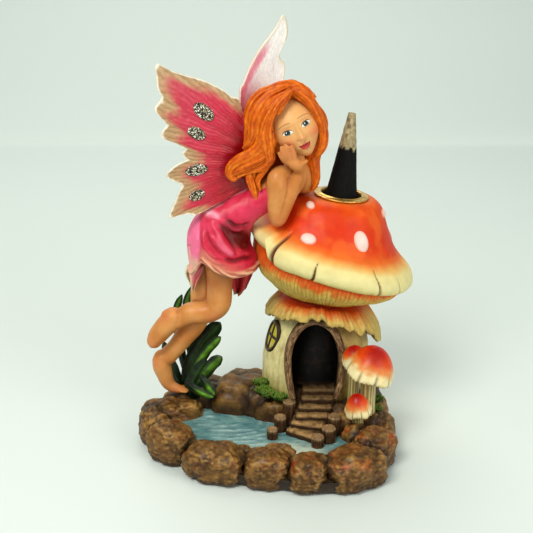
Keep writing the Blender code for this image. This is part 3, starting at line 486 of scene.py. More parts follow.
def build_cap():
    """The big cap: orange-red crown, cream brim with cracks and a curled-up piece on the left."""
    angles = full_turn(460)
    rings = smooth_path(cap_profile(), 64)
    share = np.linspace(0, 1, len(rings))
    share = np.interp(share, [0, 0.15, 0.72, 1.0], [0, 0.08, 0.82, 1.0])
    points = tilted_rings(rings, angles, CAP_DEPTH_RATIO)
    lift, crack = brim_shape(angles, share)
    outward = points - np.array([BRIM_X, HOUSE[1], BRIM_Z])
    outward /= np.linalg.norm(outward, axis=-1, keepdims=True)
    wobble = 0.35 * fractal(points, 16.0, 3)
    points = points + outward * (wobble - 2.0 * crack)[..., None]
    points[..., 2] += lift
    edge = fractal(points, 9.0, 3, 3.0)
    # Crown to brim: orange-red, then cream; the last stop, under the lip, is a painted shadow line.
    paint = ramp(share[:, None] + 0.02 * edge, [
        (0.0, 110, 40, 14), (0.1, 226, 104, 16), (0.2, 222, 74, 2), (0.42, 216, 48, 0),
        (0.52, 222, 64, 4), (0.60, 228, 108, 32), (0.665, 232, 180, 96),
        (0.715, 230, 214, 146), (0.86, 226, 216, 154), (0.92, 214, 200, 126),
        (0.97, 180, 160, 84), (1.0, 150, 90, 40)])
    blush = fractal(points, 11.0, 3, 8.0)
    paint = brush(paint, (240, 116, 40), 0.4 * smoothstep(0.05, 0.5, blush) * (share < 0.6)[:, None])
    paint = brush(paint, (196, 30, 0), 0.4 * smoothstep(0.05, 0.5, -blush) * (share < 0.55)[:, None])
    paint = brush(paint, (104, 48, 18), smoothstep(0.1, 0.8, crack))
    return grid_object("cap", points, paint, wrap=True, flip=True)


def cap_point(angle_deg, share):
    """A point of the cap's crown, with its outward direction and the direction round the cap."""
    angle = math.radians(angle_deg)
    rings = smooth_path(cap_profile()[3:11], 40)
    place = tilted_rings(rings, np.array([angle - 0.01, angle, angle + 0.01]), CAP_DEPTH_RATIO)
    k = int(share * (len(rings) - 2))
    point = Vector(place[k, 1])
    around = Vector(place[k, 2] - place[k, 0]).normalized()
    down = Vector(place[k + 1, 1] - place[k, 1]).normalized()
    return point, around, down, around.cross(down) * -1


# Spots of the cap: angle, share of the way down, half width, half height, turn
CAP_SPOTS = [(229, 0.15, 2.9, 2.1, -40), (243.5, 0.60, 4.0, 3.0, 8), (293.5, 0.44, 4.1, 5.7, 0),
             (15, 0.45, 3.6, 4.4, 0), (70, 0.6, 4.4, 3.8, 10), (118, 0.4, 3.4, 4.2, 0),
             (345, 0.2, 2.6, 2.2, 0)]


def build_cap_spots():
    """Raised pink-white spots with a dark line round each."""
    pieces = []
    for angle, share, wide, high, turn in CAP_SPOTS:
        point, around, down, outward = cap_point(angle, share)
        spin = Matrix.Rotation(math.radians(turn), 3, outward)
        around, down = spin @ around, spin @ down
        radii = np.linspace(0, 1.12, 11)
        turns = full_turn(36)
        grid = np.empty((len(radii), len(turns), 3))
        for i, radius in enumerate(radii):
            rise = 1.15 * math.sqrt(max(0.0, 1 - min(1.0, radius) ** 2.6)) - (0.9 if radius > 1 else 0.15)
            bulge = 0.5 * (wide * radius) ** 2 / 46
            for j, t in enumerate(turns):
                grid[i, j] = (point + around * (wide * radius * math.cos(t))
                              + down * (high * radius * math.sin(t)) + outward * (rise - bulge))
        tone = ramp(radii[:, None] + 0 * turns,
                    [(0, 244, 222, 214), (0.7, 240, 206, 196), (0.9, 228, 160, 140), (1.0, 150, 60, 26),
                     (1.12, 170, 60, 20)])
        pieces.append(grid_object("spot", grid, tone, wrap=True))
    return joined("cap_spots", pieces)


BROAD_GILLS = 57
FINE_GILLS = 79


def build_gills():
    """The ribbed underside of the cap, orange-red under the brim and khaki below."""
    low = BRIM_Z - 6.2
    drop = low - NECK_Z
    rings = smooth_path(np.array([(BRIM_X - 0.6, low + 0.6, CAP_RADIUS - 3.0, CAP_TILT),
                                  (BRIM_X - 1.0, low - 0.08 * drop, CAP_RADIUS - 3.7, CAP_TILT - 0.5),
                                  (BRIM_X - 1.8, low - 0.28 * drop, CAP_RADIUS - 4.4, CAP_TILT - 1.5),
                                  (BRIM_X - 2.6, low - 0.52 * drop, CAP_RADIUS - 7.6, CAP_TILT - 3),
                                  (BRIM_X - 2.9, low - 0.7 * drop, CAP_RADIUS - 12.5, CAP_TILT - 5),
                                  (house_x(NECK_Z) + 1.0, low - 0.86 * drop, 24.0, CAP_TILT - 7),
                                  (house_x(NECK_Z) + 0.6, NECK_Z + 0.4, NECK_RADIUS + 0.5, 4.0)]), 40)
    angles = full_turn(660)
    share = np.linspace(0, 1, len(rings))[:, None]
    points = tilted_rings(rings, angles, CAP_DEPTH_RATIO)
    curl = brim_curl(angles)
    points[..., 2] += 4.6 * curl * (1 - smoothstep(0.0, 0.55, share))
    wander = 0.016 * np.sin(3.0 * share + 3 * angles[None, :]) + 0.010 * fractal(points * (1, 1, 0.3), 7.0, 2)
    ribs = np.abs(np.sin(BROAD_GILLS * (angles[None, :] + 1.6 * wander)))
    fine = np.abs(np.sin(FINE_GILLS * (angles[None, :] + 0.6 * wander) + 1.0))
    inward = np.array([house_x(NECK_Z), HOUSE[1], 84.0]) - points
    inward /= np.linalg.norm(inward, axis=-1, keepdims=True)
    groove = (1 - ribs) ** 2 + 0.5 * (1 - fine) ** 2
    points = (points + inward * (0.55 * groove * smoothstep(0.0, 0.12, share)
                                 + 0.3 * fractal(points, 6.0, 2, 5.0))[..., None])
    # The last stop darkens the gills towards the neck, deep under the cap: painted shade.
    tone = ramp(share + 0.12 * fractal(points, 5.0, 3, 2.0), [
        (0.0, 180, 52, 10), (0.16, 226, 80, 14), (0.27, 216, 116, 40), (0.40, 212, 180, 88),
        (0.62, 214, 194, 104), (0.8, 190, 160, 66), (1.0, 110, 48, 18)])
    tone = brush(tone, (132, 84, 26), 0.42 * np.clip(groove, 0, 1))
    tone = brush(tone, (214, 84, 24), 0.8 * (curl > 0.02) * (1 - smoothstep(0.2, 0.5, share)))
    return grid_object("gills", points, tone, wrap=True, flip=True)


def build_collar():
    """The ragged collar under the gills, like torn petals."""
    angles = full_turn(500)
    x = house_x(NECK_Z)
    rings = smooth_path(np.array([(x, NECK_Z + 1.5, NECK_RADIUS - 0.6, 3.0),
                                  (x + 0.2, NECK_Z - 1.6, NECK_RADIUS + 1.2, 4.0),
                                  (x + 0.5, NECK_Z - 4.6, NECK_RADIUS + 5.4, 7.0),
                                  (x + 0.9, NECK_Z - 11.0, 27.4, 10.0), (x + 0.9, NECK_Z - 12.4, 26.6, 10.0),
                                  (x + 0.6, NECK_Z - 8.6, 22.0, 8.0),
                                  (x + 0.2, NECK_Z - 7.0, NECK_RADIUS + 1.5, 4.0)]), 32)
    share = np.linspace(0, 1, len(rings))
    flare = np.interp(share, [0, 0.12, 0.5, 0.68, 1.0], [0, 0.08, 1.0, 1.0, 0.15])[:, None]
    points = tilted_rings(rings, angles)
    front = np.clip(-np.sin(angles), 0, 1) ** 2
    turn = np.stack([np.cos(angles), np.sin(angles), 0 * angles], axis=-1)
    rag = 1.7 * fractal(turn * 9.0, 1.0, 3) + 0.6 * np.abs(np.sin(13 * angles + 2 * np.sin(3 * angles))) - 0.4
    tip = (4.4 * angle_bump(angles, 338, 20) + 2.0 * angle_bump(angles, 186, 16)
           + 2.4 * angle_bump(angles, 305, 9))
    lift = flare * (7.0 * front + 2.0 * angle_bump(angles, 262, 17) - rag - tip)[None, :]
    points[..., 2] += lift
    points[..., :2] += (flare * (0.4 * tip - 0.25 * rag)[None, :])[..., None] * turn[None, :, :2]
    groove = (0.8 * (1 - np.abs(np.sin(24 * angles + 3.4 * np.sin(5 * angles)))) ** 2
              + 0.3 * (1 - np.abs(np.sin(53 * angles))) ** 2)
    groove = groove * np.clip(0.55 + 1.1 * fractal(turn * 6.0, 1.0, 2, 4.0), 0.1, 1.0)
    outer = (1 - smoothstep(0.5, 0.6, share))[:, None]
    points -= (0.7 * groove[None, :] * flare * outer)[..., None] * (0, 0, 1.0)
    points -= (0.5 * groove[None, :] * flare * outer)[..., None] * turn[None, :, :]
    # The first stop, tucked under the gills, and the stops past the rim, on the collar's underside, are
    # painted shade.
    tone = ramp(share[:, None] + 0.05 * fractal(points, 3.0, 3), [
        (0.0, 120, 24, 4), (0.14, 190, 48, 10), (0.26, 212, 76, 22), (0.36, 208, 126, 52),
        (0.43, 204, 174, 94), (0.5, 194, 170, 92), (0.6, 110, 86, 42), (1.0, 54, 38, 20)])
    drooping = np.maximum(angle_bump(angles, 186, 34), angle_bump(angles, 340, 26))[None, :]
    tone = brush(tone, (190, 172, 96), 0.8 * smoothstep(0.14, 0.34, share)[:, None] * drooping)
    tone = brush(tone, (204, 62, 16), 0.7 * (1 - smoothstep(0.36, 0.47, share)[:, None]) * angle_bump(angles,
            272, 40)[None, :])
    tone = brush(tone, (120, 66, 28), 0.55 * np.clip(groove[None, :] * outer, 0, 1))
    return grid_object("collar", points, tone, wrap=True, flip=True)


WALL_TINT = np.array([0.88, 0.84, 0.60])
WALL_HEIGHTS = [6, 12, 20, 26, 33, 40, 44, 48, 52, 56, 60, 66]
WALL_RADII = [22.6, 23.8, 25.2, 25.6, 25.4, 24.4, 23.3, 21.9, 20.6, 19.4, 18.2, 17.0]


def wall_radius(z):
    """Radius of the house wall at a height."""
    return np.interp(z, WALL_HEIGHTS, WALL_RADII)


def door_matrix():
    """Where the door's arch stands, leaning back with the wall."""
    return (Matrix.Translation((DOOR_X, HOUSE[1] - HOUSE_RADIUS + 1.6, DOOR_Z))
            @ Matrix.Rotation(math.radians(DOOR_LEAN), 4, 'X'))


def door_arch(grow, count=96):
    """The door's arch in its own plane, from foot to foot, grown outwards."""
    low = math.asin((DOOR_Z - DOOR_FOOT_Z) / DOOR_SIDE_DROP)
    angles = np.linspace(-low, math.pi + low, count)
    rise = np.where(np.sin(angles) > 0, DOOR_HALF_HEIGHT + grow, DOOR_SIDE_DROP)
    return np.stack([(DOOR_HALF_WIDTH + grow) * np.cos(angles), rise * np.sin(angles)], axis=-1)


def build_wall():
    """The cream wall with the doorway left open."""
    heights = np.linspace(16.5, 62, 60)
    angles = full_turn(260)
    rings = np.stack([house_x(heights), heights, wall_radius(heights), 0 * heights], axis=-1)
    points = tilted_rings(rings, angles)
    rough = fractal(points, 6.0, 4)
    streak = fractal(points * (1, 1, 0.16), 2.4, 3, 4.0)
    out = np.stack([np.cos(angles), np.sin(angles), 0 * angles], axis=-1)[None]
    points = points + out * (0.35 * rough + 0.3 * streak)[..., None]
    deg = np.degrees(angles) % 360
    # Painted shade: the wall is painted lighter on its left and darker round its right.
    painted_shade = np.interp(deg, [0, 60, 120, 180, 225, 262, 285, 320, 360],
                      [0.9, 0.8, 0.45, 0.05, 0.0, 0.2, 0.75, 0.85, 0.9])[None, :]
    tone = between((240, 236, 196), (214, 186, 122), painted_shade + 0.18 * rough)
    tone = brush(tone, (158, 118, 64), np.clip(0.22 * painted_shade + 0.6 * np.clip(-streak, 0, 1), 0, 0.6))
    foot = 1 - smoothstep(17, 30, points[..., 2] + 3 * rough)
    tone = brush(tone, (176, 160, 84), 0.75 * foot)
    tone = brush(tone, (108, 70, 34), 0.8 * (1 - smoothstep(12, 20, points[..., 2])))
    # Darker at the top, under the collar: painted shade.
    tone = brush(tone, (120, 84, 44), 0.6 * smoothstep(50, 58, points[..., 2]))
    tone = tone * WALL_TINT
    faces = grid_faces(len(heights), len(angles), True)
    local = moved(points.reshape(-1, 3), door_matrix().inverted())
    rise = np.where(local[:, 2] > 0, DOOR_HALF_HEIGHT + 0.5, DOOR_SIDE_DROP)
    inside = (local[:, 0] / (DOOR_HALF_WIDTH + 1.6)) ** 2 + (local[:, 2] / rise) ** 2 < 1
    inside &= points.reshape(-1, 3)[:, 1] < HOUSE[1]
    faces = [face for face in faces if not all(inside[v] for v in face)]
    return make_object("wall", points, faces, tone)


def build_door():
    """The weathered wooden frame round the door, with its reveal."""
    section = [(-0.4, 9.0), (-0.3, 1.2), (0.0, -1.1), (0.5, -1.9), (1.3, -2.1), (2.2, -1.9), (2.9, -1.3),
               (3.2, 0.0), (3.2, 4.0)]
    section = smooth_path(section, 30)
    count = 240
    rows = []
    for grow, depth in section:
        line = door_arch(grow, count)
        rows.append(np.stack([line[:, 0], np.full(count, depth), line[:, 1]], axis=-1))
    points = np.array(rows)
    share = np.linspace(0, 1, len(section))[:, None]
    face = smoothstep(0.18, 0.3, share)
    middle = door_arch(1.6, count)
    along = np.stack([0.5 * middle[None, :, 0] + 0 * face, 0.5 * middle[None, :, 1] + 0 * face,
                      21 * share + 0 * middle[None, :, 0]], axis=-1)
    grainy = fractal(along, 1.6, 4)
    points[..., 1] += 0.45 * grainy * face
    tone = ramp(grainy, [(-0.6, 62, 40, 24), (-0.1, 112, 82, 54), (0.35, 150, 118, 82), (0.8, 186, 154, 112)])
    # The reveal's inner part, inside the doorway, is painted near black: painted shade.
    inner = 1 - smoothstep(0.06, 0.2, share)
    tone = brush(tone, (14, 9, 6), inner + 0 * grainy)
    edge = smoothstep(0.8, 0.95, share)
    tone = brush(tone, (70, 46, 26), 0.7 * edge + 0 * grainy)
    return grid_object("door_frame", moved(points, door_matrix()), tone)


def build_chamber():
    """The inside of the house with its floor, painted near black above the floor as painted shade."""
    rings = np.array([(house_x(22), 22.0, 0.4, 0), (house_x(22), 22.0, 17.0, 0), (house_x(30), 30.0, 16.8, 0),
                      (house_x(42), 42.0, 15.0, 0), (house_x(54), 54.0, 11.0, 0),
                      (house_x(54), 54.2, 0.4, 0)])
    rings = np.vstack([smooth_path(rings[:2], 12), smooth_path(rings[1:5], 30)[1:],
                       smooth_path(rings[4:], 8)[1:]])
    angles = full_turn(90)
    points = tilted_rings(rings, angles)
    # Painted shade: near black above the floor.
    tone = between((52, 34, 18), (2, 1, 1), smoothstep(21.5, 25, points[..., 2]))
    return grid_object("chamber", points, tone, wrap=True)


def build_window():
    """The round window: dark frame, crossed bars and olive panes, on the left of the wall."""
    turn = math.radians(199)
    z = 44.2
    radius = float(wall_radius(z))
    lean = math.atan2(float(wall_radius(z - 4) - wall_radius(z + 4)), 8)
    place = (Matrix.Translation((house_x(z), HOUSE[1], z)) @ Matrix.Rotation(turn, 4, 'Z')
             @ Matrix.Translation((radius + 0.1, 0, 0)) @ Matrix.Rotation(math.pi / 2 - lean, 4, 'Y'))
    wide, high = 6.0, 7.4
    pieces = []

    def on_wall(a, b, h):
        return place @ Vector((high * a, wide * b, h - 0.5 * (wide * b) ** 2 / radius))

    def ring(radii, heights, colours, count=72):
        turns = full_turn(count)
        grid = np.empty((len(radii), count, 3))
        for i, (r, h) in enumerate(zip(radii, heights)):
            for j, t in enumerate(turns):
                grid[i, j] = on_wall(r * math.cos(t), r * math.sin(t), h)
        tone = np.repeat(np.array(colours)[:, None, :], count, axis=1)
        pieces.append(grid_object("ring", grid, tone, wrap=True, flip=True))

    dark, light = srgb(52, 40, 24), srgb(104, 84, 48)
    ring([0.84, 0.86, 0.92, 1.0, 1.06, 1.1], [-0.3, 0.7, 1.05, 1.05, 0.6, -0.6],
         [dark, dark, light, dark, dark, dark])
    pane_radii = np.linspace(0.02, 0.9, 12)
    panes = [srgb(200, 186, 52) if r < 0.75 else srgb(140, 124, 34) for r in pane_radii]
    ring(pane_radii, [0.15] * 12, panes)
    for spin in (0.0, math.pi / 2):
        rows = []
        for s in np.linspace(-0.9, 0.9, 24):
            row = []
            for w, h in ((-0.085, 0.0), (-0.06, 0.75), (0.06, 0.75), (0.085, 0.0)):
                a, b = (s, w) if spin == 0 else (w, s)
                row.append(on_wall(a, b, h))
            rows.append(row)
        bar = np.array(rows)
        pieces.append(grid_object("bar", bar, np.broadcast_to(np.array(dark), bar.shape), flip=spin == 0))
    return joined("window", pieces)


def worn_block(name, centre, size, turn, seed, lit_top_colour, shaded_side_colour, bevel=0.7):
    """A block with worn, uneven faces, painted lighter on top and darker on its sides as painted light and
    shade.
    """
    bm = bmesh.new()
    bmesh.ops.create_cube(bm, size=1.0)
    bm.transform(Matrix.Diagonal((*size, 1.0)))
    bmesh.ops.bevel(bm, geom=bm.edges[:], offset=bevel, segments=4, affect='EDGES', profile=0.55)
    bmesh.ops.triangulate(bm, faces=bm.faces)
    for _ in range(7):
        long = [edge for edge in bm.edges if edge.calc_length() > 1.9]
        if not long:
            break
        bmesh.ops.subdivide_edges(bm, edges=long, cuts=1, use_grid_fill=True)
        bmesh.ops.triangulate(bm, faces=bm.faces)
    bm.transform(Matrix.Translation(centre) @ Matrix.Rotation(turn, 4, 'Z'))
    mesh = bpy.data.meshes.new(name)
    bm.to_mesh(mesh)
    bm.free()
    obj = smooth_object(name, mesh)
    points = np.array([v.co for v in mesh.vertices])
    wear = fractal(points, 3.0, 4, seed)
    mesh.transform(Matrix.Scale(MM, 4))
    faced = normals(obj)
    local = (points - np.array(centre)) @ np.array(Matrix.Rotation(turn, 3, 'Z'))
    grain = fractal(local * (1.6, 0.18, 0.5), 1.0, 3, seed)
    set_coords(obj, points + faced * (0.35 * wear + 0.22 * grain)[:, None])
    # Painted light and shade: the top in the lit colour, the sides in the shaded one.
    up = smoothstep(0.2, 0.85, faced[:, 2])
    tone = lerp_colour(shaded_side_colour, lit_top_colour, up)
    # A painted highlight along the front edge, and painted shade at the back of the top, under the next step.
    behind_nose = local[:, 1] + 0.5 * size[1]
    nose_highlight = smoothstep(3.2, 1.2, behind_nose) * smoothstep(0.25, 0.75, faced[:, 2])
    tone = lerp_colour(tone, [min(1.0, 1.7 * c) for c in lit_top_colour], 0.75 * nose_highlight)
    tone = lerp_colour(tone, [0.5 * c for c in shaded_side_colour], 0.75 * smoothstep(3.6, 5.6, behind_nose))
    tone = brush(tone, (40, 24, 12), np.clip(-1.1 * grain - 0.5 * wear, 0, 0.7))
    set_paint(obj, tone)
    return obj


# Steps as (x, y, top) and posts as (x, y, top, radius)
STEPS = [(25.3, 4.6, 22.8), (24.2, 1.0, 20.2), (22.9, -2.6, 17.4), (21.4, -6.4, 14.8), (18.6, -10.4, 12.4),
         (15.0, -14.2, 10.0)]
STEP_WIDTH = 15.5
STEP_LENGTH = 10.4
STEP_TURN = -34.0


def build_steps():
    """The worn steps, turning left on the way down."""
    pieces = []
    for i, (x, y, top) in enumerate(STEPS):
        turn = math.radians(STEP_TURN) * max(0.0, (i - 3) / (len(STEPS) - 4)) ** 1.2
        centre = (Vector((x, y, 0.5 * (top + 3))) + Matrix.Rotation(turn, 3, 'Z')
                  @ Vector((0, 0.5 * STEP_LENGTH, 0)))
        # The upper steps, near the doorway under the cap, painted darker: painted shade.
        doorway_shading = (0.30, 0.44, 0.60, 0.74, 0.88, 1.0)[i]
        pieces.append(worn_block("step", centre, (STEP_WIDTH + (1.6 if i == 0 else 0.6), STEP_LENGTH,
                                                  top - 3), turn, i,
                                 tuple(doorway_shading * c for c in srgb(150, 118, 74)), srgb(58, 38, 20), 1.7))
    return joined("steps", pieces)


POSTS = [(10.6, 1.5, 19.0, 3.0), (6.3, -5.7, 14.6, 2.8), (2.7, -12.8, 12.0, 2.5),
         (31.6, -8.5, 16.4, 3.2), (28.4, -15.8, 14.2, 3.2), (23.2, -20.2, 12.2, 2.9)]


def build_posts():
    """Sawn logs beside the steps: dark bark below light tops."""
    pieces = []
    for seed, (x, y, top, radius) in enumerate(POSTS):
        turns = full_turn(56)
        profile = smooth_path([(radius * 1.12, 3.0), (radius * 1.04, 0.5 * top), (radius * 1.02, top - 1.2),
                               (radius * 0.98, top - 0.3), (radius * 0.86, top), (radius * 0.5, top - 0.15),
                               (0.05, top - 0.2)], 28)
        grid = np.empty((len(profile), len(turns), 3))
        grid[..., 0] = x + profile[:, 0][:, None] * np.cos(turns)
        grid[..., 1] = y + profile[:, 0][:, None] * np.sin(turns)
        grid[..., 2] = profile[:, 1][:, None]
        side = 1 - smoothstep(0.62, 0.72, np.linspace(0, 1, len(profile)))[:, None]
        bark = np.abs(np.sin(7 * turns + seed + 1.5 * np.sin(3 * turns + seed)))[None, :]
        rough = fractal(grid, 1.8, 4, seed)
        scale = 1 + (-0.10 * (1 - bark) + 0.06 * rough) * side
        grid[..., 0] = x + (grid[..., 0] - x) * scale
        grid[..., 1] = y + (grid[..., 1] - y) * scale
        grid[..., 2] += 0.25 * rough * (1 - side)
        rings = 0.5 + 0.5 * np.cos(profile[:, 0][:, None] * 5.0 + 0 * turns)
        tone = between((46, 28, 14), (104, 72, 40), np.clip(0.5 * bark + 0.6 * rough, 0, 1))
        cut = between((84, 56, 30), (150, 112, 66), 0.6 * rings + 0.4 * rough)
        tone = lerp_colour(tone, cut, 1 - side + 0 * bark)
        rim = np.clip(1 - np.abs(profile[:, 1] - (top - 0.5)) / 0.9, 0, 1)[:, None]
        tone = brush(tone, (206, 172, 126), 0.7 * rim * (0.5 + 0.5 * bark))
        pieces.append(grid_object("post", grid, tone, wrap=True))
    return joined("posts", pieces)


# Rocks as (x, y), (half length, half width, top), turn
RIM_ROCKS = [((-45.5, 10), (15, 8.8, 15.4), 12), ((-52.8, 1), (6.8, 10.5, 14.6), 8),
             ((-43.2, -16.3), (10.6, 9.6, 15.8), -30), ((-22.2, -32.5), (14.8, 9.8, 14.4), -24),
             ((0.6, -38.2), (11, 9.4, 14.6), -6), ((18.6, -42.2), (9.6, 9.2, 14.2), 4),
             ((38.5, -38.5), (14.6, 10.6, 15.4), 26), ((48.5, -22), (9.4, 9.6, 16.2), 60),
             ((51, -5), (10.5, 8.4, 15.2), 84), ((51, 10.5), (9.6, 7.6, 15.5), 86),
             ((46.5, 27), (11.5, 8.5, 15), 58), ((32, 42), (12.5, 9, 14.4), 28),
             ((12, 45), (13, 8.8, 14.6), 4), ((-9, 42), (13, 9.2, 14.6), -10),
             ((-29, 33), (13, 9.2, 15.4), -28), ((-42, 18), (10, 6, 14.6), -30)]
FRONT_COUNT = 9
BANK_ROCKS = [((-15, 17.5), (11.5, 9, 22.6), -8), ((3.5, 8.5), (8.8, 6.5, 16.6), -20),
              ((-3, 14.6), (9.4, 8, 19.6), -15), ((-8, 30), (15, 11, 17), 0), ((-27, 24), (11, 9, 16), -10),
              ((41, -13), (6.8, 7.6, 13.4), 30), ((47, -4), (8, 8, 17), 10), ((38, -6), (6, 5.5, 17.5), 10),
              ((6.2, -24.5), (8.3, 4.6, 10.2), -18), ((-9.5, -25.5), (6.5, 3.2, 10.6), -14),
              ((-24, -24.5), (5.5, 3, 11.5), -20)]
ROCK_SQUARENESS = 2.7
ROCK_ROUGHNESS = 1.6
ROCK_GRAIN = 8.0
ROCK_TINT = np.array([0.84, 0.76, 0.58])


def rock_reach(points, rock):
    """How far each point is from a rock's middle: one on its skin."""
    (x, y), (long, wide, top), turn = rock
    half, spin = 0.62 * top, math.radians(turn)
    flat = points[:, :2] - (x, y)
    along = flat @ np.array([math.cos(spin), math.sin(spin)]) / long
    across = flat @ np.array([-math.sin(spin), math.cos(spin)]) / wide
    up = (points[:, 2] - (top - half)) / half
    return (np.abs(along) ** ROCK_SQUARENESS + np.abs(across) ** ROCK_SQUARENESS
            + np.abs(up) ** ROCK_SQUARENESS) ** (1 / ROCK_SQUARENESS)


def boulder(rock, seed, level):
    """A squarish boulder: brown, dry-brushed along its top edge, with a dark wash and painted shade where it
    meets its neighbours, painted shade in its hollows and a painted shadow low down.
    """
    place, size, turn = rock
    bm = bmesh.new()
    bmesh.ops.create_icosphere(bm, subdivisions=level, radius=1.0)
    half = 0.62 * size[2]
    mesh = bpy.data.meshes.new("boulder")
    unit = np.array([v.co for v in bm.verts])
    unit = unit * ((np.abs(unit) ** ROCK_SQUARENESS).sum(axis=1) ** (-1 / ROCK_SQUARENESS))[:, None]
    points = unit * np.array([size[0], size[1], half])
    c, s = math.cos(math.radians(turn)), math.sin(math.radians(turn))
    points = points @ np.array([[c, s, 0], [-s, c, 0], [0, 0, 1]])
    points += np.array([place[0], place[1], size[2] - half])
    bm.to_mesh(mesh)
    bm.free()
    obj = smooth_object("boulder", mesh)
    set_coords(obj, points)
    faced = normals(obj)
    shift = np.array([seed * 7.3, seed * 3.1, seed * 5.7])
    broad = np.array([noise.noise(Vector(p / ROCK_GRAIN + shift)) for p in points])
    set_coords(obj, points + faced * (ROCK_ROUGHNESS * broad)[:, None])
    points = coords(obj)
    chip = fractal(points, 5.5, 2, seed * 2.3)
    fine = fractal(points * (0.6, 0.6, 1.6), 1.7, 4, seed * 1.1)
    lines = np.abs(fractal(points * (0.5, 0.5, 1.0), 4.2, 3, seed * 0.7))
    crack = (1 - smoothstep(0.0, 0.10, lines)) * smoothstep(-0.2, 0.3, chip)
    ledge = smoothstep(0.15, 0.22, fractal(points * (1, 1, 0.7), 7.5, 3, seed * 0.37 + 3))
    flow = fractal(points * (0.5, 0.5, 1.4) + 2.0 * chip[:, None], 2.6, 3, seed * 1.9)
    relief = 0.45 * chip + 0.42 * fine + 0.55 * flow - 0.7 * crack - 0.6 * ledge
    set_coords(obj, points + faced * relief[:, None])
    deep = hollows(obj, 4)
    points, faced = coords(obj), normals(obj)
    points[:, 2] = np.maximum(points[:, 2], 0.02)
    set_coords(obj, points)
    tint = fractal(points, 6.5, 3, 20 + seed)
    tone = between((84, 58, 26), (124, 92, 48), 0.5 + 0.9 * tint)
    tone = brush(tone, (122, 62, 30), 0.30 * smoothstep(0.1, 0.5, fractal(points, 5.0, 3, 33 + seed)))
    height = points[:, 2]
    edge = np.exp(-((faced[:, 2] - 0.62) / 0.24) ** 2) * smoothstep(size[2] - 6.5, size[2] - 2.5, height)
    east = smoothstep(-12, 28, points[:, 0]) * (points[:, 1] < -10) + 0.15
    tone = brush(tone, (192, 74, 26), np.clip(0.85 * edge * east * smoothstep(-0.25, 0.3, tint), 0, 0.85))
    light = 0.75 * edge * smoothstep(-0.15, 0.35, fine + 0.3 * chip) * (1.1 - 0.6 * east)
    tone = brush(tone, (192, 156, 88), np.clip(light, 0, 0.8))
    tone = brush(tone, (188, 150, 88), np.clip(-0.30 * deep - 0.12, 0, 0.7))
    # Painted shade in the hollows.
    tone = brush(tone, (44, 26, 12), np.clip(0.36 * deep - 0.06, 0, 0.9))
    if rock in BANK_ROCKS[:5]:
        tone = brush(tone, (46, 30, 14), 0.35 + 0.3 * smoothstep(16, 10, height))
    # A dark wash and painted shade where the rocks meet.
    near = np.full(len(points), 9.0)
    for other in RIM_ROCKS + BANK_ROCKS:
        if other is not rock:
            near = np.minimum(near, rock_reach(points, other))
    tone = brush(tone, (34, 20, 10), 0.88 * smoothstep(1.34, 1.0, near + 0.06 * fine))
    # Darker low down: painted shadow at the foot.
    tone = brush(tone, (46, 28, 14), 0.7 * smoothstep(4.5, 0.5, height + 1.2 * fine))
    set_paint(obj, tone * ROCK_TINT)
    return obj


def build_rocks(name, rocks, level, first_seed):
    """A row of boulders as one piece."""
    return joined(name, [boulder(rock, first_seed + i, level) for i, rock in enumerate(rocks)])


BASE_OUTLINE = [
    (-57, 14), (-59, 5), (-56, -5), (-51, -14), (-44, -23), (-36, -29), (-27, -38), (-18, -42),
    (-7, -45), (6, -48), (18.6, -51), (28, -51), (37, -49), (46, -39), (52, -28), (56.5, -13),
    (59, 2), (58, 14), (54, 27), (47, 38), (34, 47), (18, 51), (0, 49), (-18, 44), (-34, 36), (-48, 25),
]


def bank_height(x, y):
    """The bank's height: a dome under the house, level beside it."""
    return 17.0 * np.sqrt(np.clip(1 - ((x - 27) / 35) ** 2 - ((y - 25) / 32) ** 2, 0, 1))


def build_ground():
    """The earth between the rocks and the bank that the house stands on."""
    line = smooth_loop([(0.99 * x, 0.99 * y) for x, y in BASE_OUTLINE], 140)
    shares = np.linspace(0.004, 1, 46)
    centre = np.array([6.0, 10.0])
    floor = np.zeros((len(shares), len(line), 3))
    floor[..., :2] = centre + (line[None] - centre) * shares[:, None, None]
    height = np.maximum(4.0 + bank_height(floor[..., 0], floor[..., 1]), 6.4)
    height += 1.1 * fractal(floor, 5.0, 4) * smoothstep(6.6, 9.0, height)
    floor[..., 2] = np.where(height < 6.6, 6.2, height)
    side = np.linspace(0, 1, 12)[:, None]
    wall = np.empty((12, len(line), 3))
    wall[..., :2] = centre + (line[None] - centre) * (1.0 - 0.03 * side[..., None] ** 2)
    wall[..., 2] = 6.2 - 5.9 * side
    grid = np.concatenate([floor, wall])
    tone = between((52, 34, 20), (118, 88, 58), 0.45 + 0.9 * fractal(grid, 1.6, 4, 3.0))
    # Dark low down and round the side of the base: painted shadow at its foot.
    tone = brush(tone, (30, 20, 10), 0.85 * (1 - smoothstep(6.5, 8.5, grid[..., 2])))
    under = np.empty((5, len(line), 3))
    under[..., :2] = centre + (line[None] - centre) * np.array([0.97, 0.7, 0.4, 0.1, 0.005])[:, None, None]
    under[..., 2] = 0.3
    top = grid_object("earth", grid, tone, wrap=True)
    sole = grid_object("sole", under, np.broadcast_to(srgb(96, 82, 66), under.shape), wrap=True)
    return joined("ground", [top, sole])


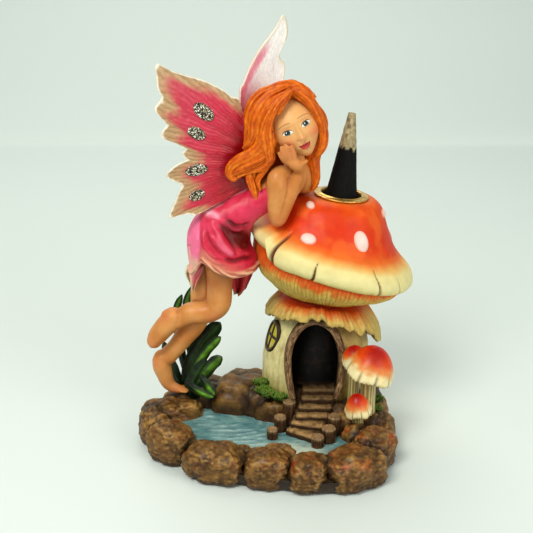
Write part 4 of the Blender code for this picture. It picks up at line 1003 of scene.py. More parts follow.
def build_water():
    """The pond: blue, brushed with pale arcs, foam where the steps meet it, and painted shade along the bank.
    """
    line = smooth_loop([(-53, 16), (-50, -4), (-38, -20), (-20, -32), (4, -39), (24, -41), (44, -32),
                        (50, -14), (34, -6), (12, 6), (-8, 14), (-30, 20)], 130)
    shares = np.linspace(0.004, 1, 66)
    centre = np.array([-8.0, -9.0])
    grid = np.empty((len(shares), len(line), 3))
    grid[..., :2] = centre + (line[None] - centre) * shares[:, None, None]
    x, y = grid[..., 0], grid[..., 1]
    flat = np.stack([x, y, 0 * x], axis=-1)
    swirl = fractal(flat, 14.0, 3)
    fine = fractal(flat * (0.35, 1, 1), 2.2, 4, 6.0)
    far = np.hypot((x + 22) * 0.8, (y - 4) * 1.5)
    arcs = np.abs(np.sin(far * 0.55 + 2.0 * swirl)) ** 6
    grid[..., 2] = WATER_LEVEL + 0.12 * arcs + 0.08 * fine
    tone = between((84, 132, 136), (112, 158, 158), 0.5 + 0.9 * swirl)
    tone = brush(tone, (164, 194, 186), 0.6 * arcs * smoothstep(-0.1, 0.3, fine))
    tone = brush(tone, (62, 108, 116), 0.6 * smoothstep(0.15, 0.5, -fine))
    foam = (np.exp(-(((x - 12) / 16) ** 2 + ((y + 25) / 6.5) ** 2))
            + 0.5 * np.exp(-(((x + 12) / 5) ** 2 + ((y + 29) / 3) ** 2)))
    foam *= 1 - np.exp(-(((x - 36) / 9) ** 2 + ((y + 21) / 5) ** 2))
    tone = brush(tone, (196, 212, 194), np.clip(1.25 * foam + 0.5 * fine * foam, 0, 0.95))
    # Painted shade where the water meets the bank.
    bank_shade = smoothstep(6.4, 10.5, 4.6 + 16 / 17 * bank_height(x, y) + 1.2 * swirl)
    tone = brush(tone, (24, 50, 48), 0.85 * bank_shade)
    return grid_object("pond_water", grid, tone, wrap=True)


def finish_base():
    """Build, paint and place everything of the casting below the cap."""
    stone = painted_material("rock paint", roughness=0.5, grain=1.1, uneven=0.26, bump=0.28, bump_grain=0.7,
                             wash=srgb(58, 36, 18), wash_share=0.4, coat=0.18)
    finish_piece(build_rocks("front_rim_rocks", RIM_ROCKS[:FRONT_COUNT], 5, 0), stone, "painted_resin", BASE)
    finish_piece(build_rocks("back_rim_rocks", RIM_ROCKS[FRONT_COUNT:], 4, FRONT_COUNT), stone,
                 "painted_resin", BASE)
    finish_piece(build_rocks("bank_rocks", BANK_ROCKS, 4, len(RIM_ROCKS)), stone, "painted_resin", BASE)
    finish_piece(build_ground(), stone, "painted_resin", BASE)
    water = painted_material("pond paint", roughness=0.3, grain=2.2, uneven=0.08, bump=0.12, bump_grain=1.8,
                             coat=0.5)
    finish_piece(build_water(), water, "painted_resin", BASE)
    wood = painted_material("step paint", roughness=0.6, grain=1.0, uneven=0.25, bump=0.25, bump_grain=0.6,
                            wash=srgb(60, 38, 22), wash_share=0.4)
    finish_piece(build_steps(), wood, "painted_resin", BASE)
    finish_piece(build_posts(), wood, "painted_resin", BASE)


def finish_house():
    """Build, paint and place the toadstool house."""
    glossy = painted_material("cap paint", roughness=0.5, grain=5.0, uneven=0.07, bump=0.10, bump_grain=1.4,
                              coat=0.08)
    finish_piece(build_cap(), glossy, "painted_resin", CAP)
    finish_piece(build_cap_spots(), glossy, "painted_resin", CAP)
    ribbed = painted_material("gill paint", roughness=0.5, grain=2.0, uneven=0.14, bump=0.12, bump_grain=0.7)
    finish_piece(build_gills(), ribbed, "painted_resin", CAP)
    finish_piece(build_collar(), ribbed, "painted_resin", CASTING)
    plaster = painted_material("wall paint", roughness=0.5, grain=2.5, uneven=0.10, bump=0.14, bump_grain=0.8,
                               wash=srgb(150, 128, 74), wash_share=0.25)
    finish_piece(build_wall(), plaster, "painted_resin", CASTING)
    wood = painted_material("door paint", roughness=0.55, grain=1.2, uneven=0.25, bump=0.25, bump_grain=0.6,
                            wash=srgb(48, 28, 14), wash_share=0.4)
    finish_piece(build_door(), wood, "painted_resin", CASTING)
    finish_piece(build_chamber(), wood, "painted_resin", CASTING)
    finish_piece(build_window(), glossy, "painted_resin", CASTING)


def sweep(path, around=24, flat=1.0, grooves=0, groove_depth=0.0, twist=0.0, first_side=(0.0, 1.0, 0.0)):
    """Rings of points round a path of (x, y, z, radius); flat squeezes them, grooves run along them."""
    spine = path[:, :3]
    along = np.gradient(spine, axis=0)
    along /= np.linalg.norm(along, axis=1)[:, None] + 1e-12
    side = np.array(first_side, dtype=float)
    sides = []
    for step in along:
        side = side - step * side.dot(step)
        side = side / (np.linalg.norm(side) + 1e-12)
        sides.append(side)
    sides = np.array(sides)
    ups = np.cross(along, sides)
    turns = full_turn(around)
    spin = turns[None, :] + twist * np.linspace(0, 1, len(path))[:, None]
    depth = 1 + 0 * spin
    if grooves:
        ridge = np.abs(np.sin(0.5 * grooves * spin + 0.6 * np.sin(3 * turns)[None, :]))
        depth = 1 - groove_depth * ridge ** 0.7
    reach = path[:, 3][:, None] * depth
    grid = (spine[:, None, :] + sides[:, None, :] * (flat * reach * np.sin(turns))[..., None]
            + ups[:, None, :] * (reach * np.cos(turns))[..., None])
    return grid, depth


def limb(points, around=28, step=0.6, flat=1.0):
    """A closed rounded limb through (x, y, z, radius) points: its points and faces."""
    length = sum(math.dist(a[:3], b[:3]) for a, b in zip(points, points[1:]))
    path = smooth_path(points, max(12, int(length / step)))
    for end, beyond in ((0, 1), (-1, -2)):
        away = path[end, :3] - path[beyond, :3]
        away /= np.linalg.norm(away)
        tip = []
        reach = path[end, 3]
        for share in (0.35, 0.65, 0.86, 0.97, 1.0):
            tip.append([*(path[end, :3] + away * reach * share),
                        max(0.02, reach * math.sqrt(1.0001 - share ** 2))])
        path = np.vstack([tip[::-1], path]) if end == 0 else np.vstack([path, tip])
    grid, _ = sweep(path, around, flat)
    rows = len(path)
    faces = grid_faces(rows, around, wrap=True)
    faces += [list(range(around)), list(range((rows - 1) * around, rows * around))[::-1]]
    return grid.reshape(-1, 3), faces


def ball(centre, size, level=4):
    """A closed ellipsoid: its points and faces."""
    bm = bmesh.new()
    bmesh.ops.create_icosphere(bm, subdivisions=level, radius=1.0)
    bm.transform(Matrix.Translation(centre) @ Matrix.Diagonal((*size, 1)))
    points = np.array([v.co for v in bm.verts])
    faces = [[v.index for v in face.verts] for face in bm.faces]
    bm.free()
    return points, faces


def merged_skin(name, parts, voxel, rounds=3):
    """One even skin over all the parts, remeshed and softened."""
    verts, faces, start = [], [], 0
    for points, part_faces in parts:
        verts.append(points)
        faces += [[v + start for v in face] for face in part_faces]
        start += len(points)
    rough = make_object(name + "_rough", np.vstack(verts), faces)
    remesh = rough.modifiers.new("skin", 'REMESH')
    remesh.mode = 'VOXEL'
    remesh.voxel_size = voxel * MM
    ready = rough.evaluated_get(bpy.context.evaluated_depsgraph_get())
    mesh = bpy.data.meshes.new_from_object(ready)
    skin = smooth_object(name, mesh)
    bpy.data.objects.remove(rough)
    set_coords(skin, spread(coords(skin), edge_ends(skin), rounds))
    return skin


# Limbs as (x, y, z, radius)
NEAR_ARM = [(9.5, 12, 126.0, 3.8), (5.6, 9.2, 125.6, 4.4), (4.7, 8.0, 123.0, 4.7), (5.0, 7.6, 118.5, 4.6),
            (4.6, 7.5, 112.0, 4.2), (4.5, 7.5, 107.0, 3.6), (5.4, 7.5, 106.0, 3.3), (7.0, 7.6, 109.9, 3.6),
            (9.4, 7.8, 115.9, 3.7), (12.0, 8.0, 121.5, 3.3), (14.0, 7.6, 126.3, 2.7),
            (14.7, 7.0, 129.4, 2.35)]
FAR_ARM = [(13.5, 17.5, 131, 3.6), (17.0, 18, 125, 4.4), (17.6, 20, 119, 4.4), (16, 27, 117, 4.2),
           (12.5, 37, 113.6, 3.8), (15, 43, 113.6, 2.9), (21, 47.0, 112.4, 2.4), (24, 48.5, 111.4, 1.6)]
NEAR_LEG = [(-21.4, 11.5, 90, 7.2), (-21.6, 11.0, 80, 6.2), (-21.6, 10.6, 70, 5.9), (-22.4, 10.4, 64.2, 5.9),
            (-25.6, 10, 61.0, 5.3), (-30.4, 10, 59.9, 5.3), (-35.2, 10, 59.6, 5.2), (-39.8, 10, 57.2, 4.6),
            (-43.4, 10, 56.0, 4.7)]
NEAR_FOOT = [(-43.6, 10, 57.8, 4.6), (-45.4, 10, 55.0, 5.0), (-48.2, 10, 51.8, 4.8), (-51.0, 10, 48.2, 4.4),
             (-52.4, 10, 45.9, 3.7)]
FAR_LEG = [(-27.0, 19, 86, 6.6), (-28.4, 18.8, 76, 6.2), (-29.8, 18.2, 67, 5.8), (-30.6, 17.4, 59.0, 5.4),
           (-33.6, 16.4, 52.0, 5.2), (-38.6, 16, 45.6, 4.8), (-43.2, 15.6, 39.6, 4.3),
           (-46.8, 15.5, 35.6, 4.4)]
FAR_FOOT = [(-49.8, 15.5, 34.2, 4.2), (-50.0, 15.5, 30.6, 4.5), (-48.9, 15.5, 26.0, 3.9),
            (-47.6, 15.5, 21.8, 3.3), (-45.4, 15.2, 19.4, 2.7), (-42.2, 14.8, 18.3, 2.1),
            (-39.8, 14.6, 18.0, 1.5)]
TRUNK = [(-12, 15, 108, 6.6), (-4, 15, 112.5, 6.8), (3, 15, 117, 7.8), (9, 15, 121.5, 8.0),
         (12.6, 15, 125.5, 6.0), (13.6, 15, 129, 4.2), (12.6, 14.8, 135, 4.0)]
PALM = [(14.7, 7.0, 128.8, 2.3), (13.6, 6.0, 131.0, 2.9), (11.6, 5.2, 132.6, 2.8), (9.8, 5.0, 133.4, 1.9)]
# Blush of elbow, knee, toes, heels and fingers: x, z, reach, strength
SKIN_BLUSH = [(5.0, 103.5, 4.0, 0.5), (-24.0, 58.5, 4.0, 0.35), (-53.6, 43.0, 4.0, 0.5),
              (-44.5, 18.0, 4.0, 0.5), (-46.8, 59.0, 3.0, 0.45), (-53.0, 33.0, 3.0, 0.45),
              (10.0, 138.5, 4.5, 0.4)]
# Fingers and thumb as (x, y, z, radius)
FINGERS = [
    [(12.5, 4.9, 132.6, 1.45), (11.9, 3.4, 136.8, 1.25), (10.9, 2.7, 140.6, 0.9)],
    [(10.8, 4.6, 132.9, 1.45), (9.3, 3.0, 137.0, 1.25), (8.2, 2.8, 141.0, 0.95)],
    [(9.5, 4.9, 133.0, 1.35), (7.5, 3.3, 136.7, 1.2), (6.3, 3.2, 139.8, 0.9)],
    [(8.5, 5.3, 132.6, 1.25), (6.6, 4.0, 135.0, 1.1), (5.3, 4.1, 137.2, 0.8)],
    [(14.4, 5.4, 131.6, 1.5), (16.2, 4.8, 132.4, 1.3), (17.4, 4.9, 133.4, 0.95)],
]


def foot_parts(foot, side):
    """A foot: its wedge, its heel and five toes spread across its end."""
    parts = [limb(foot, flat=1.15)]
    tip, before = Vector(foot[-1][:3]), Vector(foot[-2][:3])
    along = (tip - before).normalized()
    across = Vector((0, 1, 0))
    for i in range(5):
        place = side * (-2.4 + 1.2 * i)
        size = 1.25 - 0.12 * i
        reach = 2.4 - 0.32 * abs(i - 0.6)
        start = tip + across * place - along * 0.8
        middle, end = start + along * reach, start + along * (reach + 1.0)
        parts.append(limb([(*start, size), (*middle, size), (*end, 0.8 * size)], 14, 0.4))
    return parts


def build_skin():
    """Arms, legs, shoulders and neck in one skin, warm where it is thin, with painted shade in its hollows
    and on its undersides and a painted shadow below the hem.
    """
    parts = [limb(NEAR_ARM), limb(FAR_ARM), limb(NEAR_LEG), limb(FAR_LEG), limb(TRUNK)]
    parts += [limb(PALM, 24, 0.4, 1.2)]
    parts += [limb(finger, 14, 0.4) for finger in FINGERS]
    parts += foot_parts(NEAR_FOOT, 1) + foot_parts(FAR_FOOT, -1)
    parts += [ball((-45.6, 10, 58.4), (3.4, 3.4, 3.2)), ball((-51.2, 15.5, 33.0), (3.4, 3.4, 3.2))]
    skin = merged_skin("fairy_skin", parts, 0.52, 3)
    deep, points, faced = hollows(skin, 4), coords(skin), normals(skin)
    patch = fractal(points, 9.0, 3, 4.0)
    tone = between((212, 148, 82), (196, 124, 60), 0.5 + 1.0 * patch)
    # Painted shade in the hollows and on the undersides.
    tone = brush(tone, (150, 76, 26), np.clip(0.26 * deep, 0, 0.8))
    tone = brush(tone, (160, 92, 40), 0.6 * smoothstep(0.1, 0.9, -faced[:, 2]))
    for x, z, reach, share in SKIN_BLUSH:
        near = np.exp(-((points[:, 0] - x) ** 2 + (points[:, 2] - z) ** 2) / reach ** 2)
        tone = brush(tone, (206, 108, 72), share * near)
    # A painted shadow of the skirt's hem across the legs.
    painted_shade = np.exp(-((points[:, 2] - 76) / 5.0) ** 2) * (points[:, 2] < 90)
    tone = brush(tone, (150, 84, 44), 0.55 * painted_shade)
    set_paint(skin, tone)
    return skin


HEAD_CENTRE = (12.0, 14.4, 146.6)
HEAD_ROLL = 27.5
HEAD_SIZE = 1.17
HEAD_TURN = 9.0
HEAD_NOD = 4.0
HEAD_HALF = (9.5, 9.6, 11.6)
EYE_SIDE = 3.9
EYE_HALF = 1.95
MOUTH_Z = -6.75
MOUTH_HALF = 2.15
# Relief of the face, alike on both sides: height, (side, up), half sizes, tilt
FACE_RELIEF = [(0.75, (5.0, -3.8), (3.0, 2.6), 0), (0.95, (0, -10.4), (2.6, 1.9), 0),
               (0.25, (4.0, 3.0), (3.0, 1.4), 0), (-1.15, (EYE_SIDE, 0.1), (2.7, 1.9), -4),
               (1.05, (EYE_SIDE, -0.1), (EYE_HALF, 1.15), 0), (0.18, (EYE_SIDE, 1.25), (2.1, 0.28), -6),
               (0.12, (EYE_SIDE, -1.35), (1.9, 0.3), 6), (0.75, (0, -3.35), (0.95, 0.8), 0),
               (0.5, (1.05, -3.75), (0.55, 0.5), 0), (-0.35, (0.55, -4.25), (0.4, 0.25), 0),
               (0.55, (0, -7.2), (3.0, 1.7), 0), (0.42, (0.75, -6.15), (0.9, 0.42), 0),
               (0.55, (0, -7.6), (1.3, 0.5), 0), (-0.42, (0, -6.78), (2.0, 0.16), 0),
               (-0.35, (MOUTH_HALF, -6.7), (0.4, 0.4), 0), (-0.18, (0, -5.5), (0.35, 0.8), 0),
               (-0.3, (0, -9.0), (1.8, 0.4), 0)]
# Blush and shade of the face: colour, strength, (side, up), half sizes, tilt
FACE_BLUSH = [
    ((222, 98, 62), 0.6, (5.2, -4.0), (2.6, 2.0), 0), ((222, 120, 90), 0.35, (0, -3.6), (1.2, 0.9), 0),
    ((222, 120, 90), 0.3, (0, -10.8), (2.0, 1.2), 0), ((186, 112, 76), 0.45, (EYE_SIDE, 1.6), (2.4, 0.7), -6),
    ((168, 92, 62), 0.8, (0.55, -4.25), (0.35, 0.22), 0),
]


def head_matrix():
    """From the head's own frame (right, back, up) to the figure's."""
    return (Matrix.Translation(HEAD_CENTRE) @ Matrix.Rotation(math.radians(-HEAD_ROLL), 4, 'Y')
            @ Matrix.Rotation(math.radians(HEAD_TURN), 4, 'Z') @ Matrix.Rotation(math.radians(-HEAD_NOD), 4,
            'X') @ Matrix.Scale(HEAD_SIZE, 4))


def soft_spot(a, b, centre, size, tilt=0.0):
    """A smooth mound of height one at a place of the face."""
    x, y = a - centre[0], b - centre[1]
    turn = math.radians(tilt)
    p, q = x * math.cos(turn) + y * math.sin(turn), y * math.cos(turn) - x * math.sin(turn)
    return np.exp(-(p / size[0]) ** 2 - (q / size[1]) ** 2)


def paint_eyes(tone, a, b):
    """Whites, blue irises with a glint, lashes and brows."""
    side = np.abs(a)
    eye_x, eye_y = side - EYE_SIDE, b + 0.1
    lid = np.sqrt(np.clip(1 - (eye_x / EYE_HALF) ** 2, 0, 1))
    top_lid = 1.02 * lid + 0.10 * eye_x
    low_lid = -0.78 * lid + 0.10 * eye_x
    within = (smoothstep(0.0, 0.12, top_lid - eye_y) * smoothstep(0.0, 0.12, eye_y - low_lid)
              * (np.abs(eye_x) < EYE_HALF))
    tone = brush(tone, (236, 232, 222), within)
    gaze_x = a - np.sign(a) * EYE_SIDE + 0.10
    far = np.hypot(gaze_x, eye_y - 0.08)
    tone = brush(tone, (14, 34, 44), within * (1 - smoothstep(1.05, 1.16, far)))
    tone = brush(tone, (48, 116, 124), within * (1 - smoothstep(0.74, 0.9, far)) * smoothstep(0.2, -0.6,
            eye_y))
    tone = brush(tone, (10, 12, 18), within * (1 - smoothstep(0.42, 0.5, far)))
    glint = np.hypot(gaze_x + 0.32, eye_y - 0.42)
    tone = brush(tone, (255, 255, 255), within * (1 - smoothstep(0.16, 0.24, glint)))
    lash = np.exp(-((eye_y - top_lid - 0.05) / 0.21) ** 2) * (np.abs(eye_x) < 2.05)
    tone = brush(tone, (38, 22, 16), 0.95 * lash)
    lower = np.exp(-((eye_y - low_lid + 0.05) / 0.1) ** 2) * (np.abs(eye_x) < 1.9)
    tone = brush(tone, (150, 84, 58), 0.55 * lower)
    brow_line = 2.75 + 0.42 * np.cos(eye_x / 2.5 * 1.4) - 0.08 * eye_x
    brow = np.exp(-((b - brow_line) / 0.17) ** 2) * smoothstep(1.3, 1.9, side) * smoothstep(6.7, 5.9, side)
    return brush(tone, (150, 92, 52), 0.85 * brow)


def paint_mouth(tone, a, b, front):
    """Red lips with a light on the lower one and a dark line between them."""
    side = np.abs(a)
    edge = np.sqrt(np.clip(1 - (a / MOUTH_HALF) ** 2, 0, 1))
    top_lip = MOUTH_Z + 0.92 * edge - 0.28 * np.exp(-(a / 0.42) ** 2) - 0.18 * edge * (side / MOUTH_HALF)
    low_lip = MOUTH_Z - 1.25 * edge ** 1.2
    lips = smoothstep(-0.04, 0.1, top_lip - b) * smoothstep(-0.04, 0.1, b - low_lip) * (side < MOUTH_HALF)
    tone = brush(tone, (192, 44, 48), 0.94 * lips * front)
    tone = brush(tone, (228, 110, 104), 0.5 * soft_spot(a, b, (-0.2, -7.55), (0.7, 0.22)))
    gap = np.exp(-((b - MOUTH_Z + 0.03) / 0.12) ** 2) * (side < 2.3)
    return brush(tone, (104, 18, 24), 0.85 * gap * front)


def build_head():
    """A doll's head of plain proportions, with sculpted features and painted eyes, brows and lips."""
    turn = [(-180, -92, 10), (-90, -52, 18), (-50, 50, 136), (52, 90, 18), (92, 178, 10)]
    rise = [(-89.5, -80, 4), (-79, -50, 18), (-49, 35, 124), (36, 70, 22), (72, 89.5, 6)]
    turn, rise = (np.radians(np.concatenate([np.linspace(*part) for part in parts]))
                  for parts in (turn, rise))
    unit = sphere_grid(turn, rise)
    points = unit * np.array(HEAD_HALF)
    low = np.clip(-unit[..., 2], 0, 1)
    points[..., 0] *= 1 - 0.30 * low ** 1.7
    points[..., 1] *= 1 - 0.10 * low
    a, b = points[..., 0].copy(), points[..., 2].copy()
    front = smoothstep(0.0, 0.35, -unit[..., 1])
    side = np.abs(a)
    bridge = np.clip((2.4 - b) / 5.6, 0, 1) * (b > -4.4)
    nose = (0.35 + 1.35 * bridge ** 1.6) * np.exp(-(a / (0.75 + 0.35 * bridge)) ** 2)
    lift = nose * smoothstep(-4.6, -3.7, b) * smoothstep(3.4, 1.6, b)
    for height, centre, size, tilt in FACE_RELIEF:
        lift = lift + height * soft_spot(side, b, centre, size, tilt)
    points += unit * (lift * front)[..., None]
    tone = np.broadcast_to(srgb(226, 172, 108), points.shape)
    # Darker towards the sides of the face: painted shade.
    tone = brush(tone, (204, 124, 62), 0.55 * smoothstep(5.5, 9.0, side))
    for colour, strength, centre, size, tilt in FACE_BLUSH:
        tone = brush(tone, colour, strength * soft_spot(side, b, centre, size, tilt))
    tone = paint_mouth(paint_eyes(tone, a, b), a, b, front)
    tone[unit[..., 1] > 0.1] = srgb(190, 92, 30)
    return grid_object("fairy_head", moved(points, head_matrix()), tone, wrap=True)


# Locks of hair as (x, y, z, radius), from the parting down
LOCKS = {"crown_left": [(15.0, 15, 163.0, 3.0), (10.6, 13.0, 164.2, 3.4), (5.0, 12.0, 163.4, 3.4),
                        (-1.0, 12.0, 160.4, 3.0), (-4.6, 12.0, 156.0, 2.4)],
         "crown_right": [(6.0, 15, 163.0, 3.0), (10.8, 13.4, 164.4, 3.2), (16.0, 13, 162.2, 3.0),
                         (20.0, 13, 158.4, 2.6)],
         "inner_left": [(10.2, 7.6, 163.4, 2.0), (4.8, 4.8, 159.4, 2.6), (0.9, 3.8, 153.2, 2.7),
                        (-0.4, 4.2, 146.6, 2.7), (0.8, 5.0, 139.9, 2.7), (1.8, 6.4, 133.5, 2.2)],
         "outer_left": [(6.9, 13, 163.6, 2.6), (-0.6, 12, 161.6, 3.2), (-5.0, 11, 157.4, 3.4),
                        (-6.9, 10.5, 152.0, 3.4), (-6.8, 10, 147.0, 3.2), (-6.4, 10, 143.2, 2.6)],
         "second_left": [(8.5, 11, 163.4, 2.4), (1.6, 8.4, 160.7, 3.0), (-2.6, 6.9, 156.1, 3.2),
                         (-4.6, 6.4, 150.5, 3.3), (-4.9, 6.8, 145.0, 3.2), (-7.0, 8.0, 140.4, 2.4),
                         (-9.4, 8.8, 138.2, 1.2)],
         "big_curl": [(9.2, 10, 162.9, 2.2), (3.4, 6.4, 159.2, 2.8), (0.0, 5.2, 154.1, 3.0),
                      (-1.4, 5.0, 147.5, 3.2), (-2.1, 5.4, 140.9, 3.4), (-5.8, 6.0, 136.5, 3.3),
                      (-11.2, 6.6, 133.4, 3.1), (-15.0, 7.2, 130.3, 2.5), (-15.9, 7.6, 127.1, 2.0),
                      (-15.0, 7.8, 124.6, 1.5), (-13.2, 7.6, 124.6, 1.0)],
         "low_curl": [(2.4, 6, 146.0, 2.6), (1.2, 5.6, 139.9, 2.9), (-1.7, 5.8, 135.4, 2.8),
                      (-7.1, 6.2, 132.0, 2.6), (-11.6, 6.8, 129.6, 2.2), (-14.0, 7.6, 127.2, 1.3)],
         "lowest": [(3.0, 7, 138.7, 2.4), (1.4, 7.2, 133.6, 2.4), (-1.4, 7.6, 130.5, 2.3),
                    (-6.0, 8, 129.2, 2.0), (-10.5, 8.4, 127.2, 1.6), (-12.4, 8.4, 125.2, 1.0)],
         "strand": [(-7.4, 9, 130.6, 1.9), (-7.6, 8.6, 125.5, 1.8), (-6.2, 8.4, 121.3, 1.6),
                    (-4.8, 8.2, 117.2, 1.2), (-3.9, 8.0, 114.3, 0.5)],
         "small_strand": [(1.0, 9, 131.0, 2.0), (-2.0, 8.4, 127.6, 1.6), (-3.7, 8.2, 123.4, 1.2),
                          (-2.6, 8.0, 119.3, 0.5)],
         "behind_strand": [(-5.0, 12, 133.0, 4.2), (-6.2, 11.5, 125.5, 3.4), (-4.2, 10.8, 119.5, 2.2),
                           (-2.8, 10.0, 115.6, 0.8)],
         "right_top": [(9.6, 11, 163.0, 2.0), (14.1, 10.4, 162.3, 2.4), (18.2, 10.2, 159.6, 2.3),
                       (21.0, 10.2, 157.0, 1.6), (23.2, 10.2, 154.9, 0.6)],
         "right_outer": [(10.4, 11.0, 163.2, 2.2), (15.2, 10.0, 161.4, 2.6), (19.4, 10.0, 157.4, 2.6),
                         (22.8, 10.6, 151.6, 2.3), (24.9, 11.4, 145.6, 2.2), (25.2, 12, 139.8, 2.1),
                         (23.8, 13, 136.0, 1.9), (21.2, 14, 132.6, 1.2)],
         "right_inner": [(11.0, 8.6, 163.6, 1.8), (16.2, 7.2, 161.2, 2.0), (20.2, 7.4, 156.6, 1.9),
                         (23.2, 8.6, 151.0, 1.6), (24.8, 10.2, 145.0, 1.4), (24.9, 11.8, 139.4, 1.4),
                         (23.0, 13, 134.6, 1.0)],
         "right_low": [(20.2, 15, 134.2, 3.0), (21.4, 15, 128.4, 2.6), (22.2, 15, 123.4, 2.0),
                       (21.6, 15.5, 119.0, 1.3), (20.4, 16, 117.2, 0.6)],
         "fringe": [(10.6, 7.4, 163.4, 1.6), (8.0, 4.6, 160.0, 1.4), (6.2, 3.2, 156.6, 0.9),
                    (5.3, 2.8, 154.2, 0.4)]}
BACK_LOCKS = [[(6, 22, 157, 5.0), (0, 20.5, 146, 5.6), (-3, 18, 133, 5.0), (-4.5, 17.5, 123, 3.8),
               (-6, 17.5, 116, 1.6)],
              [(10, 24, 156, 5.0), (6, 25, 143, 6.0), (3, 24, 130, 5.4), (2, 22, 120, 4.0),
               (1, 21, 114, 1.4)],
              [(15, 22, 155, 5.0), (16.5, 23, 142, 5.6), (15.6, 22.5, 130, 4.6), (15, 22, 120, 2.2)],
              [(0, 16, 158, 4.4), (-5.4, 15, 148, 5.0), (-6.4, 14.5, 137, 4.8), (-7.4, 14, 128, 3.6),
               (-8.4, 14, 121, 1.6)],
              [(18, 15, 157, 3.6), (22.4, 15, 150, 4.0), (22.6, 15.5, 141, 3.8), (20.4, 16, 132, 3.4),
               (21.2, 17, 124, 2.2)]]


def lock(path, seed, grooves, spare=0.0):
    """One grooved lock: bright on its ridges, brown in its grooves."""
    length = np.linalg.norm(np.diff(path[:, :3], axis=0), axis=1).sum()
    fine = smooth_path(path, max(14, int(length / 0.85)))
    taper = np.minimum(1, np.linspace(0, 1, len(fine)) * 6 + 0.25)
    fine[:, 3] *= taper
    sides = 4 * grooves if grooves > 4 else 18
    grid, depth = sweep(fine, sides, 0.8, grooves, 0.11, twist=1.2 + 0.5 * math.sin(seed))
    wave = fractal(grid, 2.4, 3, seed)
    tone = between((176, 66, 4), (222, 108, 12), smoothstep(0.87, 0.95, depth + 0.04 * wave))
    tone = brush(tone, (246, 166, 50), 0.6 * smoothstep(0.05, 0.45, wave) * smoothstep(0.9, 1.0, depth))
    tone = brush(tone, (196, 84, 20), spare)
    return grid_object("lock", grid, tone, wrap=True)


def build_hair():
    """The wavy hair: a grooved cap behind the face and many locks that part at the top."""
    random.seed(7)
    pieces = []
    turn = full_turn(160)
    high = np.radians(np.linspace(-88, 88, 70))
    unit = sphere_grid(turn, high)
    cap = unit * (11.6, 11.4, 12.8) + (-0.6, 2.6, 1.4)
    opening = np.hypot((cap[..., 0] - 0.8) / 8.8, (cap[..., 2] + 2.0) / 12.4)
    strand = np.abs(np.sin(16 * np.arctan2(cap[..., 0] + 1.0, cap[..., 2] - 13.0)
                           + 2.0 * fractal(cap, 5.0, 2, 1.0)))
    cap += unit * (0.7 * strand - 0.3)[..., None]
    face = (cap[..., 1] < 2) * (1 - smoothstep(0.92, 1.06, opening))
    cap[..., 1] += 9.0 * face
    tone = between((150, 60, 14), (232, 128, 34), strand)
    pieces.append(grid_object("cap", moved(cap, head_matrix()), tone, wrap=True))
    for k, (name, points) in enumerate(LOCKS.items()):
        core = np.array(points, dtype=float)
        pieces.append(lock(core, k, 7))
        for extra in range(3 if len(points) > 4 else 2):
            shift = np.array([random.uniform(-1, 1), random.uniform(-1.0, 0.4), random.uniform(-1, 1)])
            child = core.copy()
            child[:, :3] += shift * (0.55 * core[:, 3])[:, None]
            child[:, :3] += 0.5 * np.sin(np.linspace(0, 5, len(core)) + extra)[:, None] * (1, 0, 0.4)
            child[:, 3] *= random.uniform(0.42, 0.6)
            pieces.append(lock(child, 10 * k + extra, 4))
    for k, points in enumerate(BACK_LOCKS):
        core = np.array(points, dtype=float)
        pieces.append(lock(core, 50 + k, 9, 0.25))
        for extra in range(3):
            child = core.copy()
            turn = 2.1 * extra
            child[:, 0] += 0.6 * core[:, 3] * math.cos(turn)
            child[:, 1] += 0.6 * core[:, 3] * abs(math.sin(turn))
            child[:, 3] *= 0.5
            pieces.append(lock(child, 70 + 5 * k + extra, 5, 0.15))
    return joined("fairy_hair", pieces)


# Dress sections from the chest to the hem: x, z, half width, half depth, tilt
DRESS = [(10.6, 121.2, 7.0, 7.6, 62), (5.0, 117.6, 7.8, 8.6, 62), (-1.5, 113.8, 7.0, 8.2, 60),
         (-7.5, 110.6, 7.6, 8.0, 54), (-13.2, 107.0, 9.4, 9.2, 44), (-18.4, 101.0, 12.8, 11.6, 29),
         (-21.2, 93.6, 14.9, 13.4, 14), (-20.6, 86.5, 15.6, 14.4, 5), (-20.0, 80.4, 15.4, 15.0, 1),
         (-19.8, 77.6, 16.0, 15.4, 0)]

